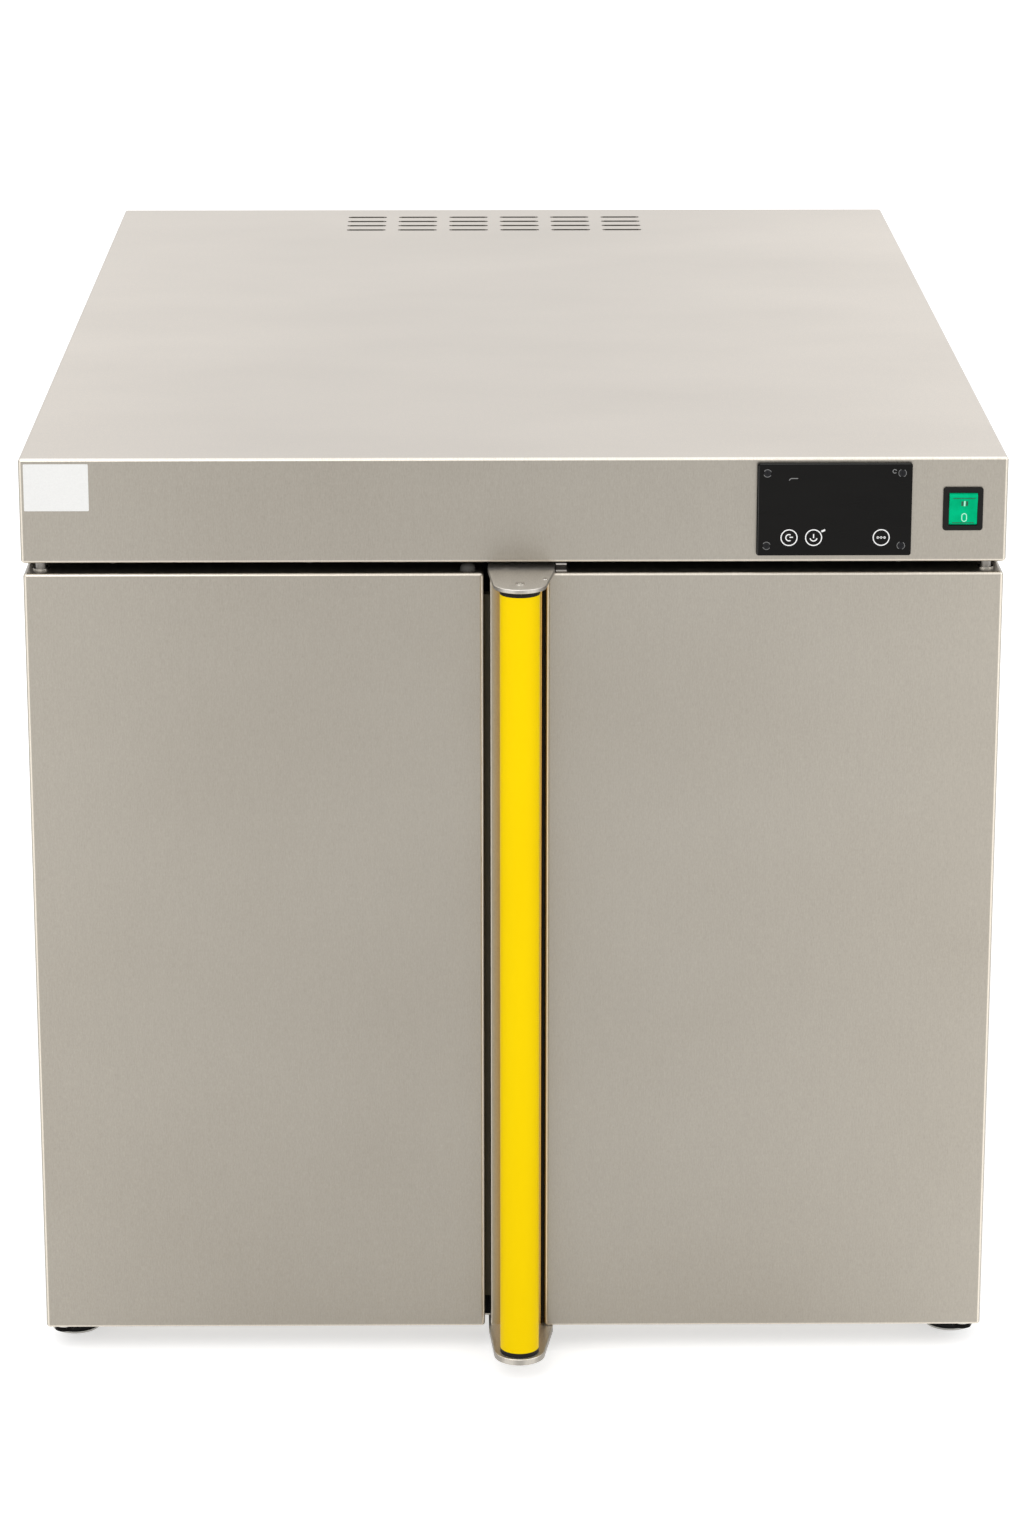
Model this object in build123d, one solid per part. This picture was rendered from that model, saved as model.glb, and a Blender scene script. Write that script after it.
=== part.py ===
from build123d import *
import math
import os

# Heating cabinet with two hinged doors, a control hood on top and a fan-heated
# chamber. Millimetres. The origin is on the floor, under the middle of the whole
# outline, handle included. +X is the right side, -Y the front, +Z up.

# Outline
hood_width = 800
cabinet_depth = 1195
handle_reach = 70

# Heights
foot_height = 15
door_floor_gap = 24
door_height = 663
hood_gap = 8.5
hood_height = 87

# Folded sheet of the hood
hood_sheet = 1.5
hood_bend = 3
hood_hem = 20
hood_base_sheet = 2

# Ventilation slots in the hood's top
louvre_groups = 6
louvre_group_pitch = 52.8
louvre_rows = 4
louvre_row_pitch = 25.6
louvre_length = 40.3
louvre_width = 8
louvre_rear_margin = 48
louvre_centre_x = -10.4

# Doors
door_inset = 1.5
left_door_gap = 5
right_door_gap = 3
left_door_extra = 2
door_depth = 40
door_sheet = 1.5
door_bend = 3
door_hem = 14
liner_sheet = 1.2
liner_margin = 2
liner_plug_height = 8
liner_plug_taper = 20
liner_corner = 12
gasket_height = 4.7
gasket_width = 13
gasket_offset = 3
gasket_edge = 1.5

# Centre strip between the doors, carried by the right door
strip_width = 43
strip_setback = 5
strip_sheet = 1.5
strip_flange_start = 26
strip_flange_end = 37
strip_seal_setback = 16
strip_seal_end_gap = 22
strip_packing_setback = 20

# Handle
handle_offset = 2.5
plate_width = 54.6
plate_shift = 1.7
plate_nose_radius = 21.5
plate_overlap = 26
top_plate_thickness = 3.5
bottom_plate_thickness = 5.5
plate_edge = 0.8
tube_diameter = 32.5
tube_wall = 2
tube_tip_margin = 3
end_collar = 4
end_plug_length = 18
plate_screw_head = 8
plate_screw_head_height = 0.8
plate_screw_shank = 4
plate_screw_length = 14
plate_pin_head = 4
plate_pin_height = 0.6
plate_pin_x = 20.4
plate_pin_reach = 35

# Hinges
hinge_inset = 13.5
hinge_setback = 17
pin_diameter = 9
pin_clearance = 0.05
pin_reach = 22
pin_head = 16
pin_head_height = 3
bush_diameter = 12
bush_length = 24
bush_flange = 13.6
bush_flange_height = 1.2
washer_diameter = 16
bracket_thickness = 4
bracket_nose_radius = 8

# Door catch pieces under the hood
buffer_diameter = 12.5
buffer_height = 6.3
buffer_inset = 12.9
buffer_setback = 10.6
catch_width = 8.6
catch_inset = 12.2
catch_front = 4.3
catch_depth = 18
catch_height = 7
catch_sheet = 1.4

# Casing and face frame
case_sheet = 1.5
rear_flange = 24
rear_recess = 32
rear_pan_flange = 12
frame_depth = 30
frame_bend = 2
mullion_width = 92

# Chamber
chamber_side_inset = 52
chamber_floor_rise = 53.5
chamber_ceiling_drop = 55.5
chamber_sheet = 1
plenum_depth = 66
rear_insulation = 50
insulation_top_gap = 6

# Trays and their rails
tray_levels = 3
rail_sheet = 1.5
rail_drop = 20
rail_ledge = 14
rail_front_gap = 2
post_depth = 10
tray_side_clearance = 2
tray_height = 14
tray_sheet = 1.2
tray_bend = 3
tray_front_setback = 26
tray_slot_side_margin = 36
tray_slot_width = 10
tray_slot_pitch = 60
tray_slot_end_margin = 60

# Fan, heater and baffle
baffle_side_gap = 40
baffle_sheet = 1.2
baffle_flange = 15
inlet_radius = 80
inlet_slot_width = 8
inlet_slot_pitch = 16
wheel_radius = 88
wheel_eye_radius = 60
wheel_blade_length = 34
wheel_blade_sheet = 1.5
wheel_blades = 12
wheel_disc = 2
wheel_wall_gap = 8
hub_radius = 13
hub_length = 22
shaft_diameter = 10
shaft_motor_engagement = 26
motor_diameter = 84
motor_length = 58
motor_bore_depth = 30
motor_edge = 4
heater_radius = 118
heater_tube = 8
heater_wall_gap = 26
heater_gap_angle = 30
heater_tail = 24

# Temperature probe
probe_diameter = 6
probe_side_inset = 145
probe_from_baffle = 40
probe_reach = 75
probe_collar = 14
probe_collar_height = 4

# Control panel and main switch on the hood's front
panel_width = 125.4
panel_height = 76.5
panel_thickness = 4
panel_right_margin = 78
panel_top_margin = 4
panel_corner = 2
panel_window_margin = 12
panel_screw_inset = 8.2
panel_screw_head = 5.5
panel_screw_head_height = 0.6
switch_width = 32.4
switch_height = 35.8
switch_right_margin = 20
switch_drop = 42.5
switch_corner = 2.5
switch_bezel = 2.5
switch_bezel_edge = 1
switch_body_depth = 24
switch_body_inset = 2.6
rocker_width = 22.7
rocker_height = 26.6
rocker_gap = 0.35
rocker_depth = 6
rocker_ridge = 4.2
rocker_dip = 2.4
rocker_edge = 2
rocker_tilt = 8
rocker_stub = 3
rocker_stub_length = 1.6
rocker_floor_gap = 3

# Electrical pieces inside the hood
board_sheet = 1.6
board_width = 110
board_height = 62
board_setback = 14
relay_size = (46, 58, 40)
relay_side_inset = 150
relay_from_front = 150
terminal_size = (84, 30, 32)
terminal_side_inset = 100
terminal_from_rear = 110
thermostat_diameter = 36
thermostat_height = 30
thermostat_from_probe = 70

# Cable gland in the rear panel
gland_side_inset = 100
gland_drop = 43.5
gland_thread = 20
gland_bore = 11
gland_hex = 24
gland_hex_height = 6
gland_cap_diameter = 22
gland_cap_height = 15
gland_inner_length = 9
gland_nut = 27
gland_nut_height = 5

# Feet
foot_diameter = 40
foot_waist = 36
foot_pad = 1.6
foot_pad_diameter = 42
foot_inset_x = 21
foot_front_setback = 63.5
foot_rear_setback = 70

# Screws under the hood's front hem
hem_screws = 5
hem_screw_centre_x = -6
hem_screw_setback = 10
hem_screw_head = 8
hem_screw_head_height = 1.6
hem_screw_shank = 4
hem_screw_length = 8

# Angles and alignments
full_turn = 360
standing = (Align.CENTER, Align.CENTER, Align.MIN)
hanging = (Align.CENTER, Align.CENTER, Align.MAX)

# Clearances
seal_clearance = 0.3
fit_clearance = 0.2
hole_clearance = 0.3
thrust_clearance = 0.2

# Places worked out from the sizes
door_front = handle_reach - (cabinet_depth + handle_reach) / 2
rear = door_front + cabinet_depth
door_bottom = door_floor_gap
door_span = hood_width - 2 * door_inset
centre_gap = left_door_gap + strip_width + right_door_gap
right_door_width = (door_span - centre_gap - left_door_extra) / 2
left_door_width = right_door_width + left_door_extra
door_top = door_bottom + door_height
door_middle = door_bottom + door_height / 2
hood_bottom = door_top + hood_gap
hood_top = hood_bottom + hood_height
hood_floor = hood_bottom + hood_sheet + hood_base_sheet
case_half_width = door_span / 2
inner_half_width = case_half_width - case_sheet
case_front = door_front + door_depth + gasket_height + seal_clearance
frame_back = case_front + frame_depth
base_top = foot_height + case_sheet
bracket_top = base_top + bracket_thickness
left_door_x = -case_half_width + left_door_width / 2
right_door_x = case_half_width - right_door_width / 2
left_free_edge = -case_half_width + left_door_width
right_free_edge = case_half_width - right_door_width
strip_left = left_free_edge + left_door_gap
strip_right = strip_left + strip_width
handle_x = (strip_left + strip_right) / 2 + handle_offset
buffer_x = left_free_edge - buffer_inset
catch_x = right_free_edge + catch_inset
hinge_x = case_half_width - hinge_inset
hinge_y = door_front + hinge_setback
hinge_radius = pin_diameter / 2
tube_y = door_front - handle_reach + tube_tip_margin + tube_diameter / 2
mullion_x = (left_free_edge + right_free_edge) / 2
mullion_left = mullion_x - mullion_width / 2
mullion_right = mullion_x + mullion_width / 2
rear_panel_back = rear - rear_recess
rear_panel_front = rear_panel_back - case_sheet
insulation_back = rear_panel_front - rear_insulation / 3
chamber_back = insulation_back - rear_insulation
chamber_half_width = inner_half_width - chamber_side_inset
chamber_floor_height = base_top + chamber_floor_rise
chamber_ceiling_height = hood_bottom - chamber_ceiling_drop
plenum_back = chamber_back - chamber_sheet
baffle_front = plenum_back - plenum_depth
chamber_middle = (chamber_floor_height + chamber_ceiling_height) / 2
tray_pitch = (chamber_ceiling_height - chamber_floor_height) / (tray_levels + 1)
tray_heights = [chamber_floor_height + tray_pitch * (level + 1) for level in range(tray_levels)]
post_back = baffle_front - post_depth
rail_front = frame_back + post_depth + rail_front_gap
rail_back = post_back - rail_front_gap
insulation_top = hood_bottom - insulation_top_gap
panel_x = hood_width / 2 - panel_right_margin - panel_width / 2
panel_z = hood_top - panel_top_margin - panel_height / 2
switch_x = hood_width / 2 - switch_right_margin - switch_width / 2
switch_z = hood_top - switch_drop
foot_x = hood_width / 2 - foot_inset_x
foot_front_y = door_front + foot_front_setback
foot_rear_y = rear - foot_rear_setback
probe_x = chamber_half_width - probe_side_inset
probe_y = baffle_front - probe_from_baffle
baffle_half_width = chamber_half_width - baffle_side_gap
gland_x = hood_width / 2 - gland_side_inset
gland_height = hood_bottom - gland_drop
relay_x = hood_width / 2 - relay_side_inset
terminal_x = hood_width / 2 - terminal_side_inset
heater_sweep = full_turn - heater_gap_angle
hem_screw_pitch = hood_width / hem_screws
bays = {
    "left": (-chamber_half_width, mullion_left),
    "right": (mullion_right, chamber_half_width),
}


def block(x, y, z):
    """Box that spans a low and a high value along each axis."""
    middle = [(low + high) / 2 for low, high in (x, y, z)]
    sizes = [high - low for low, high in (x, y, z)]
    return Pos(*middle) * Box(*sizes)


def front_plane(x, y, z):
    """Upright plane that looks to the front, with its own Y axis pointing up."""
    return Plane(origin=(x, y, z), x_dir=(1, 0, 0), z_dir=(0, -1, 0))


def rod(x, y, low, high, radius):
    """Upright round rod between two heights."""
    return Pos(x, y, (low + high) / 2) * Cylinder(radius, high - low)


def back_rod(x, z, front, back, radius):
    """Round rod along Y between two depths."""
    return Pos(x, (front + back) / 2, z) * Rot(X=90) * Cylinder(radius, back - front)


def spread(places, outline):
    """One sketch that repeats an outline at each place."""
    return Sketch() + [place * outline for place in places]


def folded_case(width, depth, height, sheet, bend, hem):
    """Five-sided folded sheet case around the origin, open below inside its hem."""
    outside = Box(width, depth, height)
    outside = fillet(outside.edges(), bend)
    inside = Box(width - 2 * sheet, depth - 2 * sheet, height - 2 * sheet)
    inside = fillet(inside.edges(), bend - sheet)
    mouth = Pos(Z=-height / 2) * Box(width - 2 * hem, depth - 2 * hem, height)
    return outside - inside - mouth


def pan(width, depth, height, sheet, bend):
    """Folded pan with its floor underneath at zero and its rim above."""
    outside = Pos(Z=height / 2) * Box(width, depth, height)
    rim = outside.edges().group_by(Axis.Z)[-1]
    outside = fillet(outside.edges() - rim, bend)
    inside = Pos(Z=height / 2 + sheet) * Box(width - 2 * sheet, depth - 2 * sheet, height)
    rim = inside.edges().group_by(Axis.Z)[-1]
    inside = fillet(inside.edges() - rim, bend - sheet)
    return outside - inside


def folded_section(width, depth, sheet, bend):
    """Section of a folded channel with its web in front and its mouth behind."""
    outside = Rectangle(width, depth)
    outside = fillet(outside.vertices().sort_by(Axis.Y)[:2], bend)
    inside = Pos(Y=sheet) * Rectangle(width - 2 * sheet, depth)
    return outside - inside


def angle_section(ledge, drop, sheet, side):
    """Section of a rail: an upright leg at zero and a ledge towards the side given."""
    leg = Pos(side * sheet / 2, -drop / 2) * Rectangle(sheet, drop)
    shelf = Pos(side * ledge / 2, -sheet / 2) * Rectangle(ledge, sheet)
    return leg + shelf


def make_hood():
    """Control hood: folded case with vents, panel window and switch cut-out."""
    middle_y = (door_front + rear) / 2
    case = folded_case(hood_width, cabinet_depth, hood_height, hood_sheet, hood_bend, hood_hem)
    case = Pos(0, middle_y, (hood_bottom + hood_top) / 2) * case
    rows_middle = rear - louvre_rear_margin - louvre_row_pitch * (louvre_rows - 1) / 2
    grid = GridLocations(louvre_group_pitch, louvre_row_pitch, louvre_groups, louvre_rows)
    vents = spread(grid, SlotOverall(louvre_length, louvre_width))
    vents = Pos(louvre_centre_x, rows_middle, hood_top - hood_sheet * 2) * vents
    case -= extrude(vents, hood_sheet * 4)
    window = Rectangle(panel_width - 2 * panel_window_margin, panel_height - 2 * panel_window_margin)
    case -= extrude(front_plane(panel_x, door_front + hood_bend, panel_z) * window, hood_bend * 2)
    body_width = switch_width - 2 * switch_body_inset + 2 * fit_clearance
    body_height = switch_height - 2 * switch_body_inset + 2 * fit_clearance
    hole = Rectangle(body_width, body_height)
    case -= extrude(front_plane(switch_x, door_front + hood_bend, switch_z) * hole, hood_bend * 2)
    for side in (-1, 1):
        case -= rod(side * hinge_x, hinge_y, hood_bottom - 1, hood_floor, hinge_radius + hole_clearance)
    for x in hem_screw_places():
        case -= rod(x, door_front + hem_screw_setback, hood_bottom - 1, hood_floor,
                    hem_screw_shank / 2 + hole_clearance)
    return case


def hem_screw_places():
    """Places along X of the screws under the hood's front hem."""
    first = hem_screw_centre_x - hem_screw_pitch * (hem_screws - 1) / 2
    return [first + hem_screw_pitch * number for number in range(hem_screws)]


def make_hood_base():
    """Plate on the hood's hem that closes it below and carries its electrical pieces."""
    inset = hood_bend + fit_clearance
    plate = block(
        (-hood_width / 2 + inset, hood_width / 2 - inset),
        (door_front + inset, rear - inset),
        (hood_floor - hood_base_sheet, hood_floor),
    )
    plate = fillet(plate.edges().filter_by(Axis.Z), hood_bend)
    low = hood_bottom - 1
    high = hood_floor + 1
    for side in (-1, 1):
        plate -= rod(side * hinge_x, hinge_y, low, high, hinge_radius + hole_clearance)
    for x in hem_screw_places():
        place = (x, door_front + hem_screw_setback)
        plate -= rod(*place, low, high, hem_screw_shank / 2 + hole_clearance)
    plate -= rod(probe_x, probe_y, low, high, probe_diameter / 2 + hole_clearance)
    return plate


def make_hem_screws():
    """Round-headed screws that hold the hood's base plate to the front hem."""
    screws = []
    for x in hem_screw_places():
        head = Cylinder(hem_screw_head / 2, hem_screw_head_height, align=hanging)
        head = fillet(head.edges().group_by(Axis.Z)[0], hem_screw_head_height * 0.8)
        shank = Cylinder(hem_screw_shank / 2, hem_screw_length, align=standing)
        screws.append(Pos(x, door_front + hem_screw_setback, hood_bottom) * (head + shank))
    return screws


def make_side_panel(side):
    """Outer side sheet with the return that holds the rear panel."""
    wall = block(
        (inner_half_width, case_half_width), (case_front, rear), (foot_height, hood_bottom)
    )
    flange = block(
        (case_half_width - rear_flange, inner_half_width),
        (rear - case_sheet, rear),
        (foot_height, hood_bottom),
    )
    panel = wall + flange
    corner = panel.edges().filter_by(Axis.Z).sort_by(Axis.X)[-2:].sort_by(Axis.Y)[-1]
    panel = fillet(corner, case_sheet)
    if side < 0:
        panel = mirror(panel, about=Plane.YZ)
    return panel


def make_base_panel():
    """Floor sheet of the casing, on the feet."""
    return block(
        (-inner_half_width, inner_half_width), (case_front, rear - case_sheet), (foot_height, base_top)
    )


def make_rear_panel():
    """Recessed rear pan with cooling slots over the motor and the gland's hole."""
    height = hood_bottom - base_top
    middle = (hood_bottom + base_top) / 2
    tray = pan(2 * inner_half_width, height, rear_pan_flange, case_sheet, frame_bend)
    tray = Pos(0, rear_panel_front, middle) * Rot(X=-90) * tray
    grid = GridLocations(motor_diameter / 2, inlet_slot_pitch, 3, 7)
    slots = spread(grid, SlotOverall(motor_diameter / 3, louvre_width))
    tray -= extrude(front_plane(0, rear_panel_back + case_sheet, chamber_middle) * slots, case_sheet * 4)
    tray -= back_rod(gland_x, gland_height, rear_panel_front - 1, rear_panel_back + 1,
                     gland_thread / 2 + hole_clearance)
    return tray


def make_stiles():
    """Two upright channels of the face frame, standing on the hinge brackets."""
    width = inner_half_width - chamber_half_width
    section = folded_section(width, frame_depth, case_sheet, frame_bend)
    stiles = []
    for side in (-1, 1):
        x = side * (inner_half_width + chamber_half_width) / 2
        place = Pos(x, case_front + frame_depth / 2, bracket_top)
        stiles.append(place * extrude(section, hood_bottom - bracket_top))
    return stiles


def make_rails():
    """Bottom and top channels of the face frame, between the stiles."""
    rails = []
    for low, high in ((base_top, chamber_floor_height), (chamber_ceiling_height, hood_bottom)):
        section = folded_section(high - low, frame_depth, case_sheet, frame_bend)
        bar = extrude(section, 2 * chamber_half_width)
        place = Pos(-chamber_half_width, case_front + frame_depth / 2, (low + high) / 2)
        rails.append(place * Rot(Y=90) * bar)
    return rails


def make_mullion():
    """Centre channel of the face frame, which both doors close against."""
    section = folded_section(mullion_width, frame_depth, case_sheet, frame_bend)
    height = chamber_ceiling_height - chamber_floor_height
    return Pos(mullion_x, case_front + frame_depth / 2, chamber_floor_height) * extrude(section, height)


def make_chamber_walls():
    """Left and right inner walls."""
    walls = []
    for side in (-1, 1):
        near, far = sorted((side * chamber_half_width, side * (chamber_half_width + chamber_sheet)))
        walls.append(
            block((near, far), (frame_back, plenum_back), (chamber_floor_height, chamber_ceiling_height))
        )
    return walls


def make_chamber_level(low, holes):
    """Chamber floor or ceiling, with holes for what passes through it."""
    reach = chamber_half_width + chamber_sheet
    sheet = block((-reach, reach), (frame_back, plenum_back), (low, low + chamber_sheet))
    for x, y, radius in holes:
        sheet -= rod(x, y, low - 1, low + chamber_sheet + 1, radius)
    return sheet


def heater_ends():
    """Places across the wall where the heater's two tails pass through it."""
    half_gap = math.radians(heater_gap_angle / 2)
    x = heater_radius * math.sin(half_gap)
    z = chamber_middle - heater_radius * math.cos(half_gap)
    return [(-x, z), (x, z)]


def make_rear_wall():
    """Chamber's rear wall, with holes for the fan shaft and the heater's tails."""
    reach = chamber_half_width + chamber_sheet
    wall = block(
        (-reach, reach),
        (plenum_back, chamber_back),
        (chamber_floor_height - chamber_sheet, chamber_ceiling_height + chamber_sheet),
    )
    wall -= back_rod(0, chamber_middle, plenum_back - 1, chamber_back + 1, shaft_diameter / 2 + 2)
    for x, z in heater_ends():
        wall -= back_rod(x, z, plenum_back - 1, chamber_back + 1, heater_tube / 2 + hole_clearance)
    return wall


def make_insulation():
    """Mineral wool slabs around the chamber."""
    reach = chamber_half_width + chamber_sheet
    floor_low = chamber_floor_height - chamber_sheet
    ceiling_high = chamber_ceiling_height + chamber_sheet
    slabs = []
    for side in (-1, 1):
        near, far = sorted((side * reach, side * inner_half_width))
        slabs.append(block((near, far), (frame_back, insulation_back), (base_top, insulation_top)))
    slabs.append(block((-reach, reach), (frame_back, chamber_back), (base_top, floor_low)))
    roof = block((-reach, reach), (frame_back, chamber_back), (ceiling_high, insulation_top))
    slabs.append(roof - rod(probe_x, probe_y, ceiling_high - 1, insulation_top + 1, probe_collar / 2 + 1))
    back = block((-reach, reach), (chamber_back, insulation_back), (base_top, insulation_top))
    back -= back_rod(0, chamber_middle, chamber_back - 1, insulation_back + 1, motor_diameter / 2 + 2)
    for x, z in heater_ends():
        back -= back_rod(x, z, chamber_back - 1, insulation_back + 1, heater_tube / 2 + 1)
    slabs.append(back)
    return slabs


def make_side_rails():
    """Tray rails on the chamber's side walls."""
    rails = []
    for side in (-1, 1):
        section = angle_section(rail_ledge, rail_drop, rail_sheet, -side)
        for height in tray_heights:
            bar = extrude(section, rail_back - rail_front)
            rails.append(Pos(side * chamber_half_width, rail_back, height) * Rot(X=90) * bar)
    return rails


def make_centre_rails():
    """Tray rails on both sides of the centre posts."""
    rails = []
    for side, edge in ((-1, mullion_left), (1, mullion_right)):
        section = angle_section(rail_ledge, rail_drop, rail_sheet, side)
        for height in tray_heights:
            bar = extrude(section, post_back + post_depth - frame_back - 2 * rail_front_gap)
            place = Pos(edge, post_back + post_depth - rail_front_gap, height)
            rails.append(place * Rot(X=90) * bar)
    return rails


def make_centre_posts():
    """Front and rear posts behind the mullion that carry the centre rails."""
    section = folded_section(mullion_width, post_depth, rail_sheet, frame_bend)
    height = chamber_ceiling_height - chamber_floor_height
    posts = []
    for front in (frame_back, post_back):
        place = Pos(mullion_x, front + post_depth / 2, chamber_floor_height)
        posts.append(place * extrude(section, height))
    return posts


def make_trays(bay):
    """The three slotted trays of one bay, resting on their rails."""
    left, right = bays[bay]
    wall_side = tray_side_clearance
    post_side = tray_side_clearance + rail_sheet
    if bay == "left":
        low, high = left + rail_sheet + wall_side, right - post_side
    else:
        low, high = left + post_side, right - rail_sheet - wall_side
    front = frame_back + tray_front_setback
    back = post_back - tray_front_setback
    length = back - front
    rows = int((length - 2 * tray_slot_end_margin) / tray_slot_pitch) + 1
    tray = pan(high - low, length, tray_height, tray_sheet, tray_bend)
    slot = Rectangle(high - low - 2 * tray_slot_side_margin, tray_slot_width)
    slots = spread(GridLocations(0, tray_slot_pitch, 1, rows), slot)
    tray -= extrude(Pos(Z=-1) * slots, tray_sheet + 2)
    middle = ((low + high) / 2, (front + back) / 2)
    return [Pos(*middle, height) * tray for height in tray_heights]


def make_baffle():
    """Sheet in front of the fan: slotted air inlet, open sides, flanges behind."""
    width = 2 * baffle_half_width
    height = chamber_ceiling_height - chamber_floor_height
    section = folded_section(height, baffle_flange, baffle_sheet, frame_bend)
    sheet = Pos(-baffle_half_width, baffle_front + baffle_flange / 2, chamber_middle) * (
        Rot(Y=90) * extrude(section, width)
    )
    count = int(inlet_radius / inlet_slot_pitch)
    for row in range(-count, count + 1):
        offset = row * inlet_slot_pitch
        chord = 2 * math.sqrt(inlet_radius**2 - offset**2)
        if chord > 3 * inlet_slot_width:
            slot = SlotOverall(chord, inlet_slot_width)
            plane = front_plane(0, baffle_front + 2 * baffle_sheet, chamber_middle + offset)
            sheet -= extrude(plane * slot, 4 * baffle_sheet)
    return sheet


def make_fan_wheel():
    """Radial wheel: rear disc, curved blades, front ring and hub."""
    disc = extrude(Circle(wheel_radius), wheel_disc)
    blade_line = ThreePointArc(
        (wheel_eye_radius, 0),
        ((wheel_eye_radius + wheel_radius) / 2, wheel_radius * 0.06),
        (wheel_radius * math.cos(math.radians(16)) - 2, wheel_radius * math.sin(math.radians(16))),
    )
    blade = extrude(trace(blade_line, wheel_blade_sheet), wheel_blade_length)
    wheel = disc + [turn * Pos(Z=wheel_disc / 2) * blade for turn in PolarLocations(0, wheel_blades)]
    ring = extrude(Circle(wheel_radius) - Circle(wheel_eye_radius + 8), wheel_disc)
    wheel += Pos(Z=wheel_blade_length) * ring
    wheel += extrude(Circle(hub_radius), hub_length)
    wheel -= Pos(Z=-1) * extrude(Circle(shaft_diameter / 2 + pin_clearance), hub_length + 2)
    return Pos(0, plenum_back - wheel_wall_gap, chamber_middle) * Rot(X=90) * wheel


def make_fan_shaft():
    """Shaft from the motor through the rear wall into the wheel's hub."""
    front = plenum_back - wheel_wall_gap - hub_length
    back = chamber_back + shaft_motor_engagement
    shaft = back_rod(0, chamber_middle, front, back, shaft_diameter / 2)
    return chamfer(shaft.edges(), 0.6)


def make_fan_motor():
    """Fan motor behind the chamber's rear wall, with its shaft bore."""
    motor = back_rod(0, chamber_middle, chamber_back, chamber_back + motor_length, motor_diameter / 2)
    motor = fillet(motor.edges().group_by(Axis.Y)[-1], motor_edge)
    bore = back_rod(0, chamber_middle, chamber_back - 1, chamber_back + motor_bore_depth,
                    shaft_diameter / 2 + pin_clearance)
    return motor - bore


def make_heater():
    """Ring heater around the fan wheel, with two tails through the rear wall."""
    radius = heater_tube / 2
    ring_y = plenum_back - heater_wall_gap
    ends = heater_ends()
    ring_path = CenterArc((0, 0, 0), heater_radius, (heater_gap_angle - full_turn / 2) / 2, heater_sweep)
    section = Plane(origin=ring_path @ 0, z_dir=ring_path % 0) * Circle(radius)
    heater = Pos(0, ring_y, chamber_middle) * Rot(X=90) * sweep(section, path=ring_path)
    for x, z in ends:
        heater += Pos(x, ring_y, z) * Sphere(radius)
        heater += back_rod(x, z, ring_y, chamber_back + heater_tail, radius)
    return heater


def make_probe():
    """Temperature probe through the chamber's ceiling, with its collar."""
    low = chamber_ceiling_height - probe_reach
    rod_piece = rod(probe_x, probe_y, low, hood_floor + 12, probe_diameter / 2)
    rod_piece = fillet(rod_piece.edges().group_by(Axis.Z)[0], probe_diameter / 2 - 0.1)
    collar_low = chamber_ceiling_height + chamber_sheet
    collar = rod(probe_x, probe_y, collar_low, collar_low + probe_collar_height, probe_collar / 2)
    return rod_piece + collar


def make_control_panel():
    """Black front plate of the controller."""
    outline = RectangleRounded(panel_width, panel_height, panel_corner)
    plate = extrude(front_plane(panel_x, door_front, panel_z) * outline, panel_thickness)
    return chamfer(plate.edges().group_by(Axis.Y)[0], 0.4)


def make_panel_screws():
    """Four small cross-recessed screws in the corners of the panel."""
    face = door_front - panel_thickness
    across = panel_width - 2 * panel_screw_inset
    upright = panel_height - 2 * panel_screw_inset
    head = extrude(Circle(panel_screw_head / 2), panel_screw_head_height)
    head = fillet(head.edges().group_by(Axis.Z)[-1], panel_screw_head_height * 0.6)
    recess = Rectangle(panel_screw_head * 0.6, 0.6) + Rectangle(0.6, panel_screw_head * 0.6)
    head -= extrude(Pos(Z=panel_screw_head_height / 3) * recess, panel_screw_head_height)
    plane = front_plane(panel_x, face, panel_z)
    return [plane * place * head for place in GridLocations(across, upright, 2, 2)]


def rocker_swing_radius():
    """Distance from the rocker's axis to its rounded ends."""
    return rocker_height / 2


def make_switch_housing():
    """Rocker switch housing: bezel outside, hollow body through the hood's front."""
    bezel = extrude(RectangleRounded(switch_width, switch_height, switch_corner), switch_bezel)
    bezel = fillet(bezel.edges().group_by(Axis.Z)[-1], switch_bezel_edge)
    body_width = switch_width - 2 * switch_body_inset
    body_height = switch_height - 2 * switch_body_inset
    body = extrude(Rectangle(body_width, body_height), -switch_body_depth)
    cavity_width = rocker_width + 2 * rocker_gap
    cavity_height = 2 * (rocker_swing_radius() + rocker_gap)
    cavity_depth = rocker_depth + rocker_floor_gap
    cavity = Pos(Z=-cavity_depth) * extrude(Rectangle(cavity_width, cavity_height), cavity_depth * 2)
    stub_hole = Rot(Y=90) * Cylinder(
        rocker_stub / 2 + pin_clearance, rocker_width + 2 * (rocker_stub_length + rocker_gap)
    )
    housing = bezel + body - cavity - stub_hole
    return front_plane(switch_x, door_front, switch_z) * housing


def make_rocker():
    """Rocker with a dished front, rounded ends and two pivot stubs, lower end pressed."""
    reach = rocker_swing_radius()
    profile = Polygon(
        (-rocker_depth, -reach),
        (rocker_ridge, -reach),
        (rocker_dip, 0),
        (rocker_ridge, reach),
        (-rocker_depth, reach),
        align=None,
    )
    profile = profile & Circle(reach)
    body = extrude(profile, rocker_width / 2, both=True)
    ends = body.edges().filter_by(Axis.Z).sort_by(Axis.X)[-3:].sort_by(Axis.Y)
    body = fillet([ends[0], ends[-1]], rocker_edge)
    stub = Cylinder(rocker_stub / 2, rocker_width + 2 * rocker_stub_length)
    rocker = Rot(X=rocker_tilt) * Rot(Y=-90) * (body + stub)
    return front_plane(switch_x, door_front, switch_z) * rocker


def make_board():
    """Controller board standing on the hood's base behind the panel."""
    y = door_front + board_setback
    return block(
        (panel_x - board_width / 2, panel_x + board_width / 2),
        (y, y + board_sheet),
        (hood_floor, hood_floor + board_height),
    )


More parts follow.
